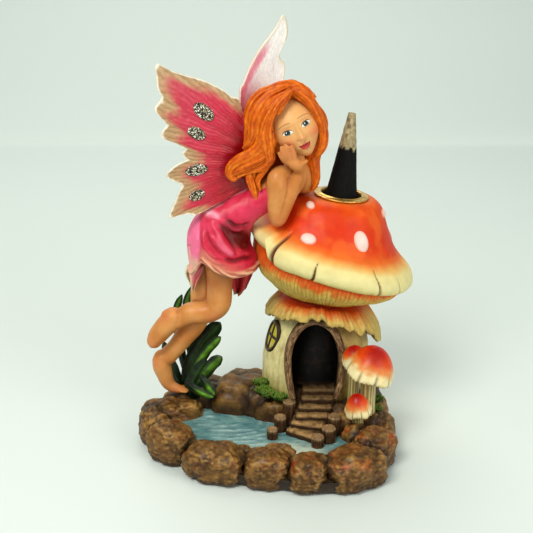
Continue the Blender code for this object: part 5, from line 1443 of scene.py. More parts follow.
# Folds of the skirt as seen from the front: path in (x, z), half width, height
FOLDS = [
    ([(-21.4, 108.1), (-19.1, 105.7), (-16.9, 103.4), (-13.8, 101.3), (-10.1, 102.8)], 1.2, 1.1),
    ([(-26.4, 107.2), (-24.1, 107.4), (-21.3, 106.6), (-18.6, 103.6)], 1.0, 0.9),
    ([(-23.6, 105.2), (-21.4, 101.6), (-20.3, 97.4), (-17.0, 93.2), (-15.0, 90.5)], 1.7, 1.2),
    ([(-25.1, 99.8), (-22.6, 97.4), (-20.4, 94.7), (-17.0, 92.0)], 1.0, 0.6),
    ([(-28.5, 100.2), (-27.2, 95.0), (-24.4, 91.4), (-21.6, 90.2)], 0.8, 0.7),
    ([(-29.2, 96.6), (-26.9, 91.6), (-23.0, 88.4), (-18.8, 87.2)], 0.8, 0.7),
    ([(-12.5, 92.9), (-10.2, 91.1), (-7.6, 89.1)], 0.7, 1.0),
    ([(-20.8, 107.2), (-17.5, 102.8), (-14.1, 98.9), (-10.2, 94.7), (-7.5, 91.3)], 2.6, -2.1),
    ([(-22.6, 104.0), (-19.2, 101.3), (-17.0, 98.3), (-14.4, 94.1), (-13.0, 91.1)], 1.0, -0.9),
    ([(-18.4, 89.2), (-14.5, 88.0), (-10.2, 88.2), (-6.2, 86.8)], 1.1, -1.4),
    ([(-27.1, 102.6), (-25.7, 98.0), (-22.7, 93.8), (-18.7, 90.2)], 0.7, -0.7),
    ([(-29.5, 98.6), (-27.9, 93.8), (-24.6, 90.0), (-20.4, 88.2)], 0.55, -0.7),
    ([(-16.9, 105.9), (-14.1, 103.7), (-11.3, 103.0), (-8.0, 103.6)], 0.9, -1.2),
    ([(-30.3, 108.0), (-30.6, 101.2), (-30.2, 95.2), (-29.6, 88.6)], 0.6, -0.9),
    ([(-28.7, 108.3), (-26.6, 109.6), (-22.6, 111.6), (-18.1, 113.5)], 0.9, -0.7),
]
# The hem as seen from the front: (x, z)
HEM = [(-37, 79.0), (-33.5, 79.0), (-30.6, 84.0), (-29.2, 87.8), (-26.9, 85.9), (-22.9, 83.5), (-18.9, 81.7),
       (-15.4, 80.4), (-10.3, 80.3), (-4.5, 80.7), (-2.0, 82.8)]


def path_closeness(x, z, path, half_width):
    """One on a smooth path of (x, z), falling off to nothing beside it, and towards the path's ends."""
    line = smooth_path(path, 40)
    best = np.zeros(x.shape)
    for k, (px, pz) in enumerate(line):
        ends = min(1.0, (k + 3) / 9, (len(line) + 2 - k) / 9)
        best = np.maximum(best, ends * np.exp(-((x - px) ** 2 + (z - pz) ** 2) / half_width ** 2))
    return best


def build_dress():
    """Bodice and skirt: folds drawn across to the right, and a rolled hem that rises at the left."""
    rows, around = 134, 300
    frame_rows = smooth_path(DRESS, rows)
    turns = full_turn(around)
    share = np.linspace(0, 1, rows)[:, None]
    tilt = np.radians(frame_rows[:, 4])[:, None]
    half, deep = frame_rows[:, 2][:, None], frame_rows[:, 3][:, None]
    across, back = half * np.cos(turns), deep * np.sin(turns)
    x = frame_rows[:, 0][:, None] + across * np.cos(tilt)
    z = frame_rows[:, 1][:, None] - across * np.sin(tilt)
    y = 15.0 + back
    hem_at = np.interp(x[-1], [p[0] for p in HEM], [p[1] for p in HEM])
    hem_at = np.where(np.sin(turns) > 0.15, 77.6, hem_at)
    hem_at = spread_ring(hem_at, 14)
    low = smoothstep(0.45, 1.0, share) ** 1.3
    z = z + low * (hem_at - z[-1])[None, :]
    grid = np.stack([x, y, z], axis=-1)
    out = np.stack([np.cos(turns) * np.cos(tilt), np.sin(turns) + 0 * tilt, -np.cos(turns) * np.sin(tilt)],
                   axis=-1)
    seen = smoothstep(0.25, -0.35, np.sin(turns))[None, :] + 0 * x
    fold = np.zeros(x.shape)
    for path, width, height in FOLDS:
        fold += height * path_closeness(x, z, path, width) * seen
    behind = 1 - seen
    ripple = np.sin(9 * turns + 2.0 * np.sin(2 * turns) + 0.02 * z)
    fold += behind * 0.9 * ripple * smoothstep(0.4, 0.7, share)
    soft = fractal(grid * (1, 1, 0.6), 7.0, 3, 2.0)
    fine = fractal(grid * (1.0, 1.0, 0.5), 2.2, 3, 6.0)
    hem = smoothstep(3.4, 2.4, z - hem_at[None, :]) * smoothstep(0.5, 0.8, share)
    roll = np.sin(np.clip((z - hem_at[None, :]) / 3.0, 0, 1) * math.pi) * hem
    twist = np.sin(0.85 * x + 2.2 * (z - hem_at[None, :]) + 2.0 * soft)
    fold = fold + 1.2 * roll + 0.3 * twist * roll + 0.25 * soft + 0.07 * fine
    grid = grid + out * fold[..., None]
    inner_rows = 10
    inward = np.linspace(0.05, 0.8, inner_rows)[:, None, None] ** 1.2
    inner = grid[-1][None] + (np.array([-19.8, 15.0, 82.0]) - grid[-1])[None] * inward
    inner[..., 2] = grid[-1][None, :, 2] + np.linspace(0.4, 7.0, inner_rows)[:, None]
    tone = between((216, 58, 92), (202, 36, 66), 0.5 + 0.9 * fractal(grid, 8.0, 3, 8.0))
    tone = brush(tone, (196, 22, 44), 0.7 * smoothstep(104, 90, z) * smoothstep(-28, -18, x) * seen)
    # Painted shade in the valleys of the folds.
    tone = brush(tone, (96, 4, 8), np.clip(-0.75 * fold - 0.08, 0, 0.95))
    # Painted shade in the deep fold below the bodice.
    p, q = x + 10.5, z - 97.5
    shaded_pit = np.exp(-((p * 0.72 + q * 0.70) / 3.6) ** 2 - ((q * 0.72 - p * 0.70) / 6.5) ** 2) * seen
    tone = brush(tone, (92, 4, 6), np.clip(1.15 * shaded_pit, 0, 0.93) * smoothstep(0.9, 0.1, fold))
    # Painted highlights on the ridges of the folds, strongest on the lit left.
    lit = smoothstep(-12, -22, x + 0.3 * (z - 100))
    tone = brush(tone, (240, 130, 158), np.clip(0.6 * fold - 0.32, 0, 0.65) * (1 - hem) * lit)
    tone = brush(tone, (232, 96, 128), np.clip(0.5 * fold - 0.2, 0, 0.5) * (1 - hem))
    shine = path_closeness(x, z, [(-27.0, 107.9), (-24.1, 108.6), (-21.0, 107.5)], 0.9) * seen
    tone = brush(tone, (252, 190, 210), 0.75 * shine)
    left = smoothstep(-29.6, -31.2, x + 0.6 * soft) * smoothstep(110.5, 106, z)
    tail = between((240, 112, 152), (226, 186, 160), smoothstep(91, 84, z + soft))
    tone = lerp_colour(tone, tail, 0.95 * left)
    above_hem = z - hem_at[None, :]
    near_hem = smoothstep(8.5, 3.6, above_hem + 1.2 * soft + 0.06 * (x + 24)) * smoothstep(0.5, 0.8, share)
    pale = np.clip(hem + 0.8 * near_hem * smoothstep(-7, -22, x), 0, 1)
    tone = brush(tone, (206, 140, 112), 0.85 * pale * (1 - left))
    # The rolled hem is painted light where its ruffles turn forward and dark where they turn back: painted
    # light and shade.
    tone = brush(tone, (232, 190, 150), 0.75 * roll * smoothstep(-0.3, 0.7, twist))
    tone = brush(tone, (150, 70, 50), 0.7 * hem * smoothstep(0.0, -0.9, twist) * (0.4 + 0.6 * roll))
    # Inside the skirt, darker further in: painted shade.
    fade = np.exp(-np.linspace(0, 6, inner_rows))[:, None]
    inside = between((120, 12, 24), (190, 120, 96), fade + 0 * turns)
    points, colours = np.concatenate([grid, inner]), np.concatenate([tone, inside])
    return grid_object("fairy_dress", points, colours, wrap=True)


def ragged_flap(name, outline, depth_at, colours, waves, thickness=0.9):
    """A hanging, wavy piece of skirt, from rows of (left x, right x, z)."""
    rows = smooth_path(outline, 50)
    shares = np.linspace(0, 1, 36)
    grid = np.empty((len(rows), len(shares), 3))
    grid[..., 0] = rows[:, 0][:, None] + (rows[:, 1] - rows[:, 0])[:, None] * shares
    fall = np.linspace(0, 1, len(rows))[:, None]
    wave = np.sin(waves * 2 * math.pi * shares + 1.2 * fall) * (0.3 + fall)
    grid[..., 1] = depth_at - 1.3 * wave + 1.5 * (shares - 0.5) ** 2
    grid[..., 2] = rows[:, 2][:, None] + 0.5 * fall * np.sin(3 * waves * shares * math.pi)
    # Painted light and shade: the first colour where the wave dips back, the second where it comes forward.
    tone = lerp_colour(colours[0], colours[1], smoothstep(-0.9, 0.7, wave) + 0 * shares)
    tone = lerp_colour(tone, colours[2], smoothstep(0.72, 1.0, fall + 0.08 * wave))
    back = grid[:, ::-1].copy()
    back[..., 1] += thickness
    points, colours = np.concatenate([grid, back], axis=1), np.concatenate([tone, tone[:, ::-1]], axis=1)
    return grid_object(name, points, colours, wrap=True)


def build_flaps():
    """The back of the skirt seen below its hem, and the pale tail at its left."""
    rear = ragged_flap("rear", [(-21, -4.6, 84), (-19.5, -5.6, 78), (-17.6, -6.9, 73.6), (-16.4, -8.6, 69.6),
                                (-15.6, -9.8, 66.8), (-15.4, -12.2, 64.9)], 20.0,
                       (srgb(140, 10, 22), srgb(204, 60, 64), srgb(178, 118, 84)), 1.6, 1.6)
    tail = ragged_flap("tail", [(-35.4, -29.2, 93), (-35.2, -29.0, 87.6), (-35.0, -28.7, 84.2),
                                (-35.2, -29.5, 80), (-34.8, -31.6, 75.6), (-34.4, -33.2, 71.6)], 8.6,
                       (srgb(226, 112, 126), srgb(232, 166, 156), srgb(214, 192, 156)), 0.9, 1.8)
    frill = ragged_flap("frill", [(-36.4, -33.4, 82), (-37.4, -34.0, 79.4), (-37.2, -34.2, 77.2),
                                  (-35.6, -33.6, 73.6), (-34.6, -33.6, 71.0)], 13.0,
                        (srgb(196, 176, 130), srgb(226, 210, 168), srgb(216, 200, 150)), 1.4, 1.4)
    return joined("fairy_skirt_flaps", [rear, tail, frill])


# Wing margin from the top of the root round to its bottom: (outward, up) from the middle of the root
WING_MARGIN = [(0.0, 16), (3.5, 29.6), (6, 30.6), (9, 33), (13, 35.8), (19.5, 39.2), (25.5, 41.2),
               (31.6, 43.6), (34.8, 45.6), (37.0, 47.0), (38.2, 45.6), (38.0, 41.4), (37.8, 37), (36, 33.6),
               (36.8, 31.8), (39, 29.6), (39.2, 28), (37.9, 25.8), (35.6, 23), (34.5, 21), (36.2, 19),
               (37.0, 16.9), (35.0, 14.9), (31.4, 13.0), (26.6, 9.8), (28.2, 8.0), (27.9, 6.4), (26.0, 4.6),
               (31, 2.7), (35.2, -0.6), (34.6, -2.8), (31, -4.8), (28.6, -7.0), (29.8, -10), (32.4, -15.4),
               (34.2, -20.2), (33.6, -21.4), (28.8, -20.6), (26, -20.4), (23.2, -21.4), (17.4, -19.2),
               (12.2, -16.2), (7, -13.6), (3, -12.0), (0.0, -10.8)]
WING_BEND = 7.0
WING_TAB = 4.0
WING_ROOT_TOP = 6.0
WING_ROOT_HEIGHT = 16.0
FINE_RIBS = 150
BROAD_RIBS = 31
# Each wing: middle of its root, heading, turn up, length against the near wing, side
WINGS = {
    "near_wing": ((-8.5, 13.5, 129.5), (-0.97, -0.2), 0.0, 1.0, 1.0),
    "far_wing": ((-9.0, 21.5, 129.5), (0.55, 0.83), 15.0, 1.12, -1.0),
}
# Glitter ovals: middle, half length, half width, tilt
GLITTER = [((18.6, 25.2), (5.7, 3.0), 42), ((21.8, 16.2), (4.5, 2.6), 33), ((22.0, -0.4), (5.0, 2.8), -6),
           ((22.0, -12.2), (3.7, 2.4), -24)]


def wing_place(name, flat, raise_by=0.0):
    """Points of a wing's own plane (outward, up) placed in the world, bent as the wing is."""
    root, heading, _, _, side = WINGS[name]
    out = Vector((*heading, 0)).normalized()
    across = Vector((0, 0, 1)).cross(out) * side
    far = np.maximum(0, flat[..., 0]) / 40
    bend = WING_BEND * far ** 2 + 2.0 * far * np.sin(flat[..., 1] / 14) + raise_by
    place = np.array(root) + np.array(out) * flat[..., 0][..., None] + np.array(across) * bend[..., None]
    place[..., 2] += flat[..., 1]
    return place


def wing_turned(name, flat):
    """A wing plan's points turned and lengthened for one wing."""
    lift, length = math.radians(WINGS[name][2]), WINGS[name][3]
    if name == "near_wing":
        stretch = 1.05
    else:
        stretch = 1 - 0.2 * smoothstep(42, 30, flat[..., 1]) * smoothstep(20, 34, flat[..., 0])
    flat = np.stack([flat[..., 0] * stretch, flat[..., 1]], axis=-1)
    return np.stack([flat[..., 0] * math.cos(lift) - flat[..., 1] * math.sin(lift),
                     flat[..., 0] * math.sin(lift) + flat[..., 1] * math.cos(lift)], axis=-1) * length


def build_wing(name, rows, steps):
    """A wing: a thin sheet with fine ribs that fan from its root to its ragged margin."""
    places = np.linspace(0, len(WING_MARGIN) - 1, rows)
    straight = [np.interp(places, range(len(WING_MARGIN)), [point[c] for point in WING_MARGIN])
                for c in range(2)]
    margin = 0.5 * smooth_path(WING_MARGIN, rows) + 0.5 * np.stack(straight, axis=-1)
    share = np.linspace(0, 1, rows)
    start = np.stack([np.full(rows, -WING_TAB), WING_ROOT_TOP - WING_ROOT_HEIGHT * share], axis=-1)
    step = np.linspace(0, 1, steps)[None, :, None] ** 0.65
    flat = start[:, None] * (1 - step) + margin[:, None] * step
    reach = np.linalg.norm(flat - start[:, None], axis=-1)
    edge = np.linalg.norm(margin - start, axis=-1)[:, None]
    ray = np.arctan2(flat[..., 1], flat[..., 0] + 14)
    level = np.concatenate([flat, 0 * flat[..., :1]], axis=-1)
    wobble = 0.020 * fractal(level, 7.0, 3, 2.0)
    fine = np.sin(FINE_RIBS * (ray + wobble))
    broad = np.sin(BROAD_RIBS * (ray + 1.5 * wobble))
    grain = fractal(level, 2.0, 4, 3.0)
    s = step[..., 0]
    free = smoothstep(0.05, 0.3, s)
    ribbed = 1.0 if name == "near_wing" else 0.35
    lift = (0.07 * fine + 0.16 * broad + 0.2 * grain) * free * ribbed
    rim = smoothstep(1.6, 0.2, edge - reach) * free
    lift = lift + 0.25 * rim
    turned_flat = wing_turned(name, flat)
    thick = 0.62 - 0.3 * smoothstep(0.6, 1.0, s)
    front = wing_place(name, turned_flat, thick + lift)
    rear = wing_place(name, turned_flat, -(thick + 0.6 * lift))
    dist = np.broadcast_to(reach, flat.shape[:2])
    to_edge = edge - reach + 1.2 * grain
    if name == "near_wing":
        tone = ramp(dist + 1.6 * grain, [(0, 92, 4, 6), (10, 140, 8, 16), (18, 184, 22, 46),
                                         (27, 202, 36, 68), (48, 196, 52, 74)])
        low = smoothstep(2, -12, flat[..., 1] + 0.25 * flat[..., 0])
        tone = brush(tone, (150, 12, 24), 0.55 * low * smoothstep(26, 12, dist))
        beige = smoothstep(10.5, 2.5, to_edge + 1.6 * broad) * smoothstep(15, 25, dist)
        tone = brush(tone, (196, 96, 84), 0.7 * smoothstep(13.0, 5.0, to_edge) * free)
        tone = brush(tone, (188, 158, 112), 0.9 * beige)
        tone = brush(tone, (130, 96, 56), 0.4 * smoothstep(0.2, 0.9, -fine) * beige)
        between_ribs = smoothstep(0.3, 1.0, -broad) * smoothstep(34, 14, dist) * free
        tone = brush(tone, (140, 14, 30), 0.3 * between_ribs)
        cream = smoothstep(1.3, 0.6, edge - reach + 0.7 * grain) * smoothstep(16, 22, dist)
        tone = brush(tone, (240, 234, 214), 0.95 * cream)
    else:
        # Beyond its root the far wing is painted nearly white: pink paint under a painted pearly sheen.
        tone = ramp(dist + 1.6 * grain, [(0, 190, 30, 66), (14, 236, 90, 134), (24, 252, 196, 210),
                                         (32, 255, 250, 250), (60, 255, 252, 248)])
        leading = (share < 0.24)[:, None]
        stripe = smoothstep(10.5, 5.0, to_edge) * leading * smoothstep(50, 40, dist)
        tone = brush(tone, (248, 130, 160), 0.9 * stripe)
        tone = brush(tone, (244, 232, 206), 0.8 * smoothstep(2.2, 0.8, to_edge))
    whole = np.concatenate([front, rear[:, ::-1]], axis=1)
    colours = np.concatenate([tone, tone[:, ::-1]], axis=1)
    return grid_object(name + "_paint", whole, colours, wrap=True, flip=name == "far_wing")


def build_glitter():
    """Raised ovals of glitter on the front of the near wing."""
    pieces = []
    for centre, half, tilt in GLITTER:
        turn = math.radians(tilt)
        radii = np.linspace(0.03, 1.0, 10)
        angles = full_turn(48)
        p = half[0] * radii[:, None] * np.cos(angles)
        q = half[1] * radii[:, None] * np.sin(angles)
        c, s = math.cos(turn), math.sin(turn)
        flat = np.stack([centre[0] - (p * c + q * s), centre[1] + q * c - p * s], axis=-1)
        rise = 1.0 + 0.5 * np.sqrt(1.0001 - radii ** 2)[:, None] + 0 * angles
        rise[-1] = 0.4
        place = wing_place("near_wing", wing_turned("near_wing", flat), rise)
        tone = between((70, 60, 44), (170, 160, 130), 0.5 + 0 * rise)
        tone[-2:] = srgb(120, 60, 50)
        pieces.append(grid_object("oval", place, tone, wrap=True))
    return joined("near_wing_glitter", pieces)


def glitter_material():
    """Dark and silver flakes, each its own brightness and slant."""
    mat = bpy.data.materials.new("glitter")
    mat.use_nodes = True
    nodes, links = mat.node_tree.nodes, mat.node_tree.links
    shader = nodes["Principled BSDF"]
    place = nodes.new('ShaderNodeTexCoord')
    flakes = nodes.new('ShaderNodeTexVoronoi')
    flakes.inputs["Scale"].default_value = 1 / (0.42 * MM)
    links.new(place.outputs["Object"], flakes.inputs["Vector"])
    split = nodes.new('ShaderNodeSeparateColor')
    links.new(flakes.outputs["Color"], split.inputs["Color"])
    tones = nodes.new('ShaderNodeValToRGB')
    stops = tones.color_ramp
    stops.interpolation = 'CONSTANT'
    stops.elements[0].color = (*srgb(22, 18, 14), 1)
    stops.elements[1].position = 0.46
    stops.elements[1].color = (*srgb(92, 84, 60), 1)
    for position, *colour in ((0.66, 176, 166, 130), (0.84, 250, 250, 236)):
        stop = stops.elements.new(position)
        stop.color = (*srgb(*colour), 1)
    links.new(split.outputs["Red"], tones.inputs["Fac"])
    links.new(tones.outputs["Color"], shader.inputs["Base Color"])
    shader.inputs["Metallic"].default_value = 0.35
    shader.inputs["Roughness"].default_value = 0.35
    height = nodes.new('ShaderNodeBump')
    height.inputs["Strength"].default_value = 1.0
    height.inputs["Distance"].default_value = 0.3 * MM
    links.new(split.outputs["Green"], height.inputs["Height"])
    links.new(height.outputs["Normal"], shader.inputs["Normal"])
    return mat


# Leaves as their middle line in (x, y, z), with half width and strength of the lime streak
LEAVES = [([(-35.0, 22, 10), (-38.0, 21, 20), (-35.6, 20, 30), (-30.4, 20, 40), (-25.4, 20, 46.6),
            (-21.9, 20, 50.8)], 4.3, 0.12),
          ([(-34.0, 20, 10), (-36.0, 18, 20), (-33.6, 17, 29), (-29.4, 16, 36.4), (-24.6, 15, 42.6),
            (-21.6, 15, 45.6)], 2.7, 1.0),
          ([(-32.0, 18, 10), (-34.0, 15, 18), (-31.0, 14, 24.6), (-27.2, 13, 30.0), (-23.6, 12, 34.4),
            (-21.0, 12, 36.6)], 3.3, 0.75),
          ([(-33.0, 20, 9), (-37.0, 15, 15), (-35.2, 14, 22), (-31.8, 14, 29), (-28.4, 14, 34)], 3.6, 0.1),
          ([(-38.6, 9, 25.4), (-35.2, 8, 22.4), (-31.6, 8, 19.8), (-28.2, 8, 18.2), (-25.0, 8, 17.4)],
           2.3, 1.3),
          ([(-31.4, 10, 28.0), (-29.8, 9, 25.4), (-28.0, 9, 22.4), (-26.2, 9, 20.0), (-24.6, 9, 17.8)],
           2.4, 1.1),
          ([(-36.0, 24, 10), (-40.5, 27, 26), (-43.0, 29, 42), (-43.4, 30, 53), (-40.6, 30, 61.2)], 2.2, 0.6),
          ([(-34.0, 24, 10), (-36.5, 28, 28), (-38.6, 30, 44), (-38.6, 31, 56), (-35.6, 31, 65.4)], 2.2, 0.6),
          ([(-38.0, 22, 10), (-43.0, 22, 20), (-47.6, 23, 31), (-49.6, 24, 39.0)], 2.6, 0.2)]

LEAF_ROWS = 48
LEAF_COLUMNS = 17


def build_leaves():
    """Broad blades that bow up from the rocks: nearly black, with lime streaks."""
    pieces = []
    for k, (line, half_width, streak) in enumerate(LEAVES):
        spine = smooth_path(line, LEAF_ROWS)
        t = np.linspace(0, 1, LEAF_ROWS)[:, None]
        along = np.gradient(spine, axis=0)
        along /= np.linalg.norm(along, axis=1)[:, None]
        across = np.cross(along, (0.0, 1.0, 0.0))
        across /= np.linalg.norm(across, axis=1)[:, None]
        out = np.cross(across, along)
        wide = (half_width * np.interp(t[:, 0], [0, 0.2, 0.48, 0.76, 0.9, 0.97, 1.0],
                                       [0.4, 0.8, 1.0, 0.92, 0.68, 0.36, 0.04]))
        s = np.concatenate([np.linspace(-1, 1, LEAF_COLUMNS), np.linspace(1, -1, LEAF_COLUMNS)])
        front = np.repeat([1.0, -1.0], LEAF_COLUMNS)
        edge = 1 + 0.04 * np.sin(24 * t + k) * np.abs(s)
        curl = (0.9 * np.abs(s) ** 1.6 - 0.5 * np.exp(-(s / 0.13) ** 2)
                + 0.1 * np.abs(np.sin(14 * np.abs(s) + 8 * t)))
        lift = curl * wide[:, None] * 0.32 - front * 0.5 * (1 - s ** 2)
        grid = (spine[:, None] + across[:, None] * (wide[:, None] * s * edge)[..., None]
                + out[:, None] * lift[..., None])
        mottled = fractal(grid, 3.0, 3, k)
        lime = (np.exp(-((s[None, :] - 0.1 * np.sin(6 * t)) / 0.40) ** 2) * smoothstep(0.25, 0.6, t)
                * smoothstep(1.02, 0.9, t))
        tone = between((5, 12, 6), (14, 40, 14), 0.4 + mottled)
        tone = brush(tone, (112, 172, 36), np.clip(streak * (0.9 * lime + 0.5 * mottled * lime), 0, 1))
        tone = brush(tone, (24, 60, 16), 0.5 * np.exp(-(s / 0.1) ** 2)[None, :] + 0 * t)
        tone = brush(tone, (60, 100, 44), 0.3 * smoothstep(0.93, 1.0, np.abs(s))[None, :] + 0 * t)
        pieces.append(grid_object("leaf", grid, tone, wrap=True, flip=True))
    return joined("leaves", pieces)


# Small toadstools: foot, middle of the cap's rim, radius, height of the cap, tilt
TOADSTOOLS = [((46.5, -5.0), (47.0, -5.0, 37.0), 11.6, 12.5, 17.0),
              ((42.0, -10.5), (41.8, -12.0, 20.6), 6.2, 8.4, -6.0),
              ((40.5, 1.5), (41.0, 1.0, 40.6), 6.4, 6.4, -10.0)]
STEM_RADIUS = 4.3
# A small cap's section as (share of the radius, share of the height), from its top round to its gills
SMALL_CAP = [(0.03, 1.0), (0.30, 0.95), (0.58, 0.76), (0.80, 0.48), (0.94, 0.17), (1.0, -0.02), (0.98, -0.12),
             (0.9, -0.13), (0.62, -0.02), (0.35, 0.0)]
SMALL_CAP_RINGS = 42
FIRST_GILL_RING = 28
RIM_CRACKS = (4.2, 4.9, 5.6, 3.4, 0.4, 2.2)


def small_stem(foot, top, radius, height):
    """A grooved cream stem, olive at its foot."""
    thick = min(STEM_RADIUS, 0.5 * radius)
    x, y, z = top
    path = smooth_path([(*foot, 4, 1.25 * thick), (*foot, 10, thick),
                        (0.5 * (foot[0] + x), foot[1], 0.5 * (5 + z) + 3, 0.8 * thick),
                        (x, y, z + 0.2 * height, 0.92 * thick)], 30)
    grid, depth = sweep(path, 48, 1.0, 12, 0.1)
    tone = between((150, 130, 70), (232, 220, 160), smoothstep(0.9, 0.99, depth))
    tone = brush(tone, (120, 120, 60), 0.6 * smoothstep(18, 8, grid[..., 2]))
    return grid_object("stem", grid, tone, wrap=True)


def small_cap(k, top, radius, height, tilt):
    """A domed red cap with a crimson patch, a cracked cream rim and gills."""
    turns = full_turn(144)
    profile = smooth_path(SMALL_CAP, SMALL_CAP_RINGS)
    out = profile[:, 0][:, None]
    r, h = out * radius + 0 * turns, profile[:, 1][:, None] * height + 0 * turns
    wave = np.sin(5 * turns + k) * 0.03 + np.sin(11 * turns) * 0.015
    edge = smoothstep(0.75, 1.0, out)
    under = (np.arange(len(profile)) >= FIRST_GILL_RING)[:, None] * 1.0
    gills = np.abs(np.sin(18 * turns))[None, :]
    r = r * (1 + wave * edge)
    h = h + 0.5 * np.sin(4 * turns + 1 + k) * edge - 0.5 * gills * under
    cracked = np.zeros_like(r)
    for crack in RIM_CRACKS:
        cracked += np.exp(-((turns - crack) / 0.05) ** 2)[None, :] * smoothstep(0.86, 0.98, out)
    r = r * (1 - 0.05 * cracked)
    local = np.stack([r * np.cos(turns), r * np.sin(turns), h], axis=-1)
    world = moved(local, Matrix.Translation(top) @ Matrix.Rotation(math.radians(tilt), 4, 'Y'))
    tone = ramp(out + 0.05 * fractal(world, 3.0, 3, 11 + k),
                [(0.0, 196, 24, 8), (0.35, 208, 36, 6), (0.72, 226, 76, 14), (0.86, 232, 144, 70),
                 (0.95, 236, 218, 160), (1.0, 240, 228, 176)])
    across, ahead = local[..., 0] / radius + 0.05, local[..., 1] / radius + 0.42
    patch = np.exp(-((across / 0.42) ** 2 + (ahead / 0.40) ** 2) ** 1.6)
    tone = brush(tone, (150, 8, 16), 0.75 * patch * (1 - under))
    gilled = between((150, 120, 60), (228, 208, 140), gills + 0 * r)
    gilled = brush(gilled, (222, 110, 50), 0.5 * smoothstep(0.85, 0.6, out) + 0 * r)
    tone = lerp_colour(tone, gilled, under + 0 * r)
    tone = brush(tone, (90, 50, 24), 0.7 * cracked)
    return grid_object("cap", world, tone, wrap=True, flip=True)


def build_small_toadstools():
    """Three small toadstools by the steps."""
    pieces = []
    for k, (foot, top, radius, height, tilt) in enumerate(TOADSTOOLS):
        pieces += [small_stem(foot, top, radius, height), small_cap(k, top, radius, height, tilt)]
    return joined("small_toadstools", pieces)


BOWL_RADIUS = 9.4
CONE_RADIUS = 7.4
CONE_TIP_RADIUS = 1.9
CONE_HEIGHT = 40.0
ASH_HEIGHT = 24.4


def turned_grid(profile, around, place, wobble=None):
    """A turned surface from (radius, height) rows, placed by a matrix."""
    turns = full_turn(around)
    r = profile[:, 0][:, None] + 0 * turns
    if wobble is not None:
        r = r + wobble(r, profile[:, 1][:, None] + 0 * turns, turns)
    local = np.stack([r * np.cos(turns), r * np.sin(turns), profile[:, 1][:, None] + 0 * turns], axis=-1)
    return moved(local, place), local


def top_place():
    """Middle of the cap's flat top, with the dish's tilt."""
    return Matrix.Translation((TOP_X, HOUSE[1], TOP_Z)) @ Matrix.Rotation(math.radians(TOP_TILT), 4, 'Y')


def build_dish():
    """The gilt dish: a flange with a rolled edge and a bowl dark inside, with burnt residue and painted shade
    under the cone.
    """
    profile = smooth_path([(2.0, -2.4), (2.0, -1.5), (2.4, -1.35), (BOWL_RADIUS - 1.2, -1.35),
                           (BOWL_RADIUS - 0.5, -1.1), (BOWL_RADIUS - 0.2, 0.6), (BOWL_RADIUS + 0.1, 1.4),
                           (BOWL_RADIUS + 0.6, 1.6), (BOWL_RADIUS + 1.3, 1.35), (DISH_RADIUS - 1.0, 1.2),
                           (DISH_RADIUS - 0.2, 1.1), (DISH_RADIUS, 0.75), (DISH_RADIUS - 0.1, 0.35)], 64)
    grid, local = turned_grid(profile, 120, top_place())
    speck = fractal(grid, 1.6, 4, 3.0)
    r = np.hypot(local[..., 0], local[..., 1])
    tone = between((214, 160, 72), (240, 200, 120), 0.5 + speck)
    # Dark inside the bowl: burnt residue and painted shade under the cone.
    tone = brush(tone, (60, 40, 20), 0.85 * smoothstep(BOWL_RADIUS + 0.3, BOWL_RADIUS - 0.4, r + 0.3 * speck))
    return grid_object("gilt_dish", grid, tone, wrap=True)


def build_cone():
    """The half burnt cone: pressed black incense below, crumbling grey ash above a ragged line."""
    foot = -1.1
    top = foot + CONE_HEIGHT
    sides = [(CONE_RADIUS + share * (CONE_TIP_RADIUS - CONE_RADIUS), foot + 40 * share)
             for share in (0.25, 0.5, 0.75)]
    profile = smooth_path([(1.9, foot), (CONE_RADIUS - 0.4, foot), (CONE_RADIUS, foot + 0.5),
                           (CONE_RADIUS - 0.05, foot + 1.2), *sides, (CONE_TIP_RADIUS, top - 0.9),
                           (0.75 * CONE_TIP_RADIUS, top - 0.25), (0.02, top)], 90)

    def rough(r, z, turns):
        points = np.stack([r * np.cos(turns), r * np.sin(turns), z], axis=-1)
        ash = smoothstep(24, 26, z)
        crumbs = 0.10 * fractal(points, 0.8, 4) + 0.16 * ash * fractal(points, 1.6, 5, 4.0)
        return crumbs * smoothstep(0.05, 1.0, r) - 0.12 * ash

    grid, local = turned_grid(profile, 84, top_place(), rough)
    line = ASH_HEIGHT + 1.6 * fractal(local * (1, 1, 0), 3.0, 4, 7.0) - 0.16 * local[..., 0]
    ash = smoothstep(-0.25, 0.25, local[..., 2] - foot - line)
    fine = fractal(grid, 0.9, 4, 1.0)
    tone = between((3, 3, 3), (12, 11, 10), 0.5 + fine)
    grey = between((140, 126, 92), (182, 168, 130), 0.5 + 1.0 * fine)
    grey = brush(grey, (96, 82, 68), 0.8 * smoothstep(0.2, 0.6, fractal(grid, 2.2, 3, 9.0)))
    tone = lerp_colour(tone, grey, ash)
    return grid_object("burnt_cone", grid, tone, wrap=True)


# Tufts of moss: middle, reach, number of blades
MOSS = [((-2.4, 15, 21.6), 3.6, 240), ((-1.6, 10, 20.0), 3.6, 260), ((1.6, 6.5, 19.6), 3.6, 260),
        ((6.4, 3.4, 19.4), 3.0, 180), ((50.5, 1, 14.6), 3.6, 220), ((51.6, 6, 17.5), 3.4, 200),
        ((45, -3.5, 13.4), 3.0, 150)]


BLADE_FACES = ((0, 1, 4, 3), (1, 2, 5, 4), (2, 0, 3, 5), (3, 4, 6), (4, 5, 6), (5, 3, 6), (0, 2, 1))


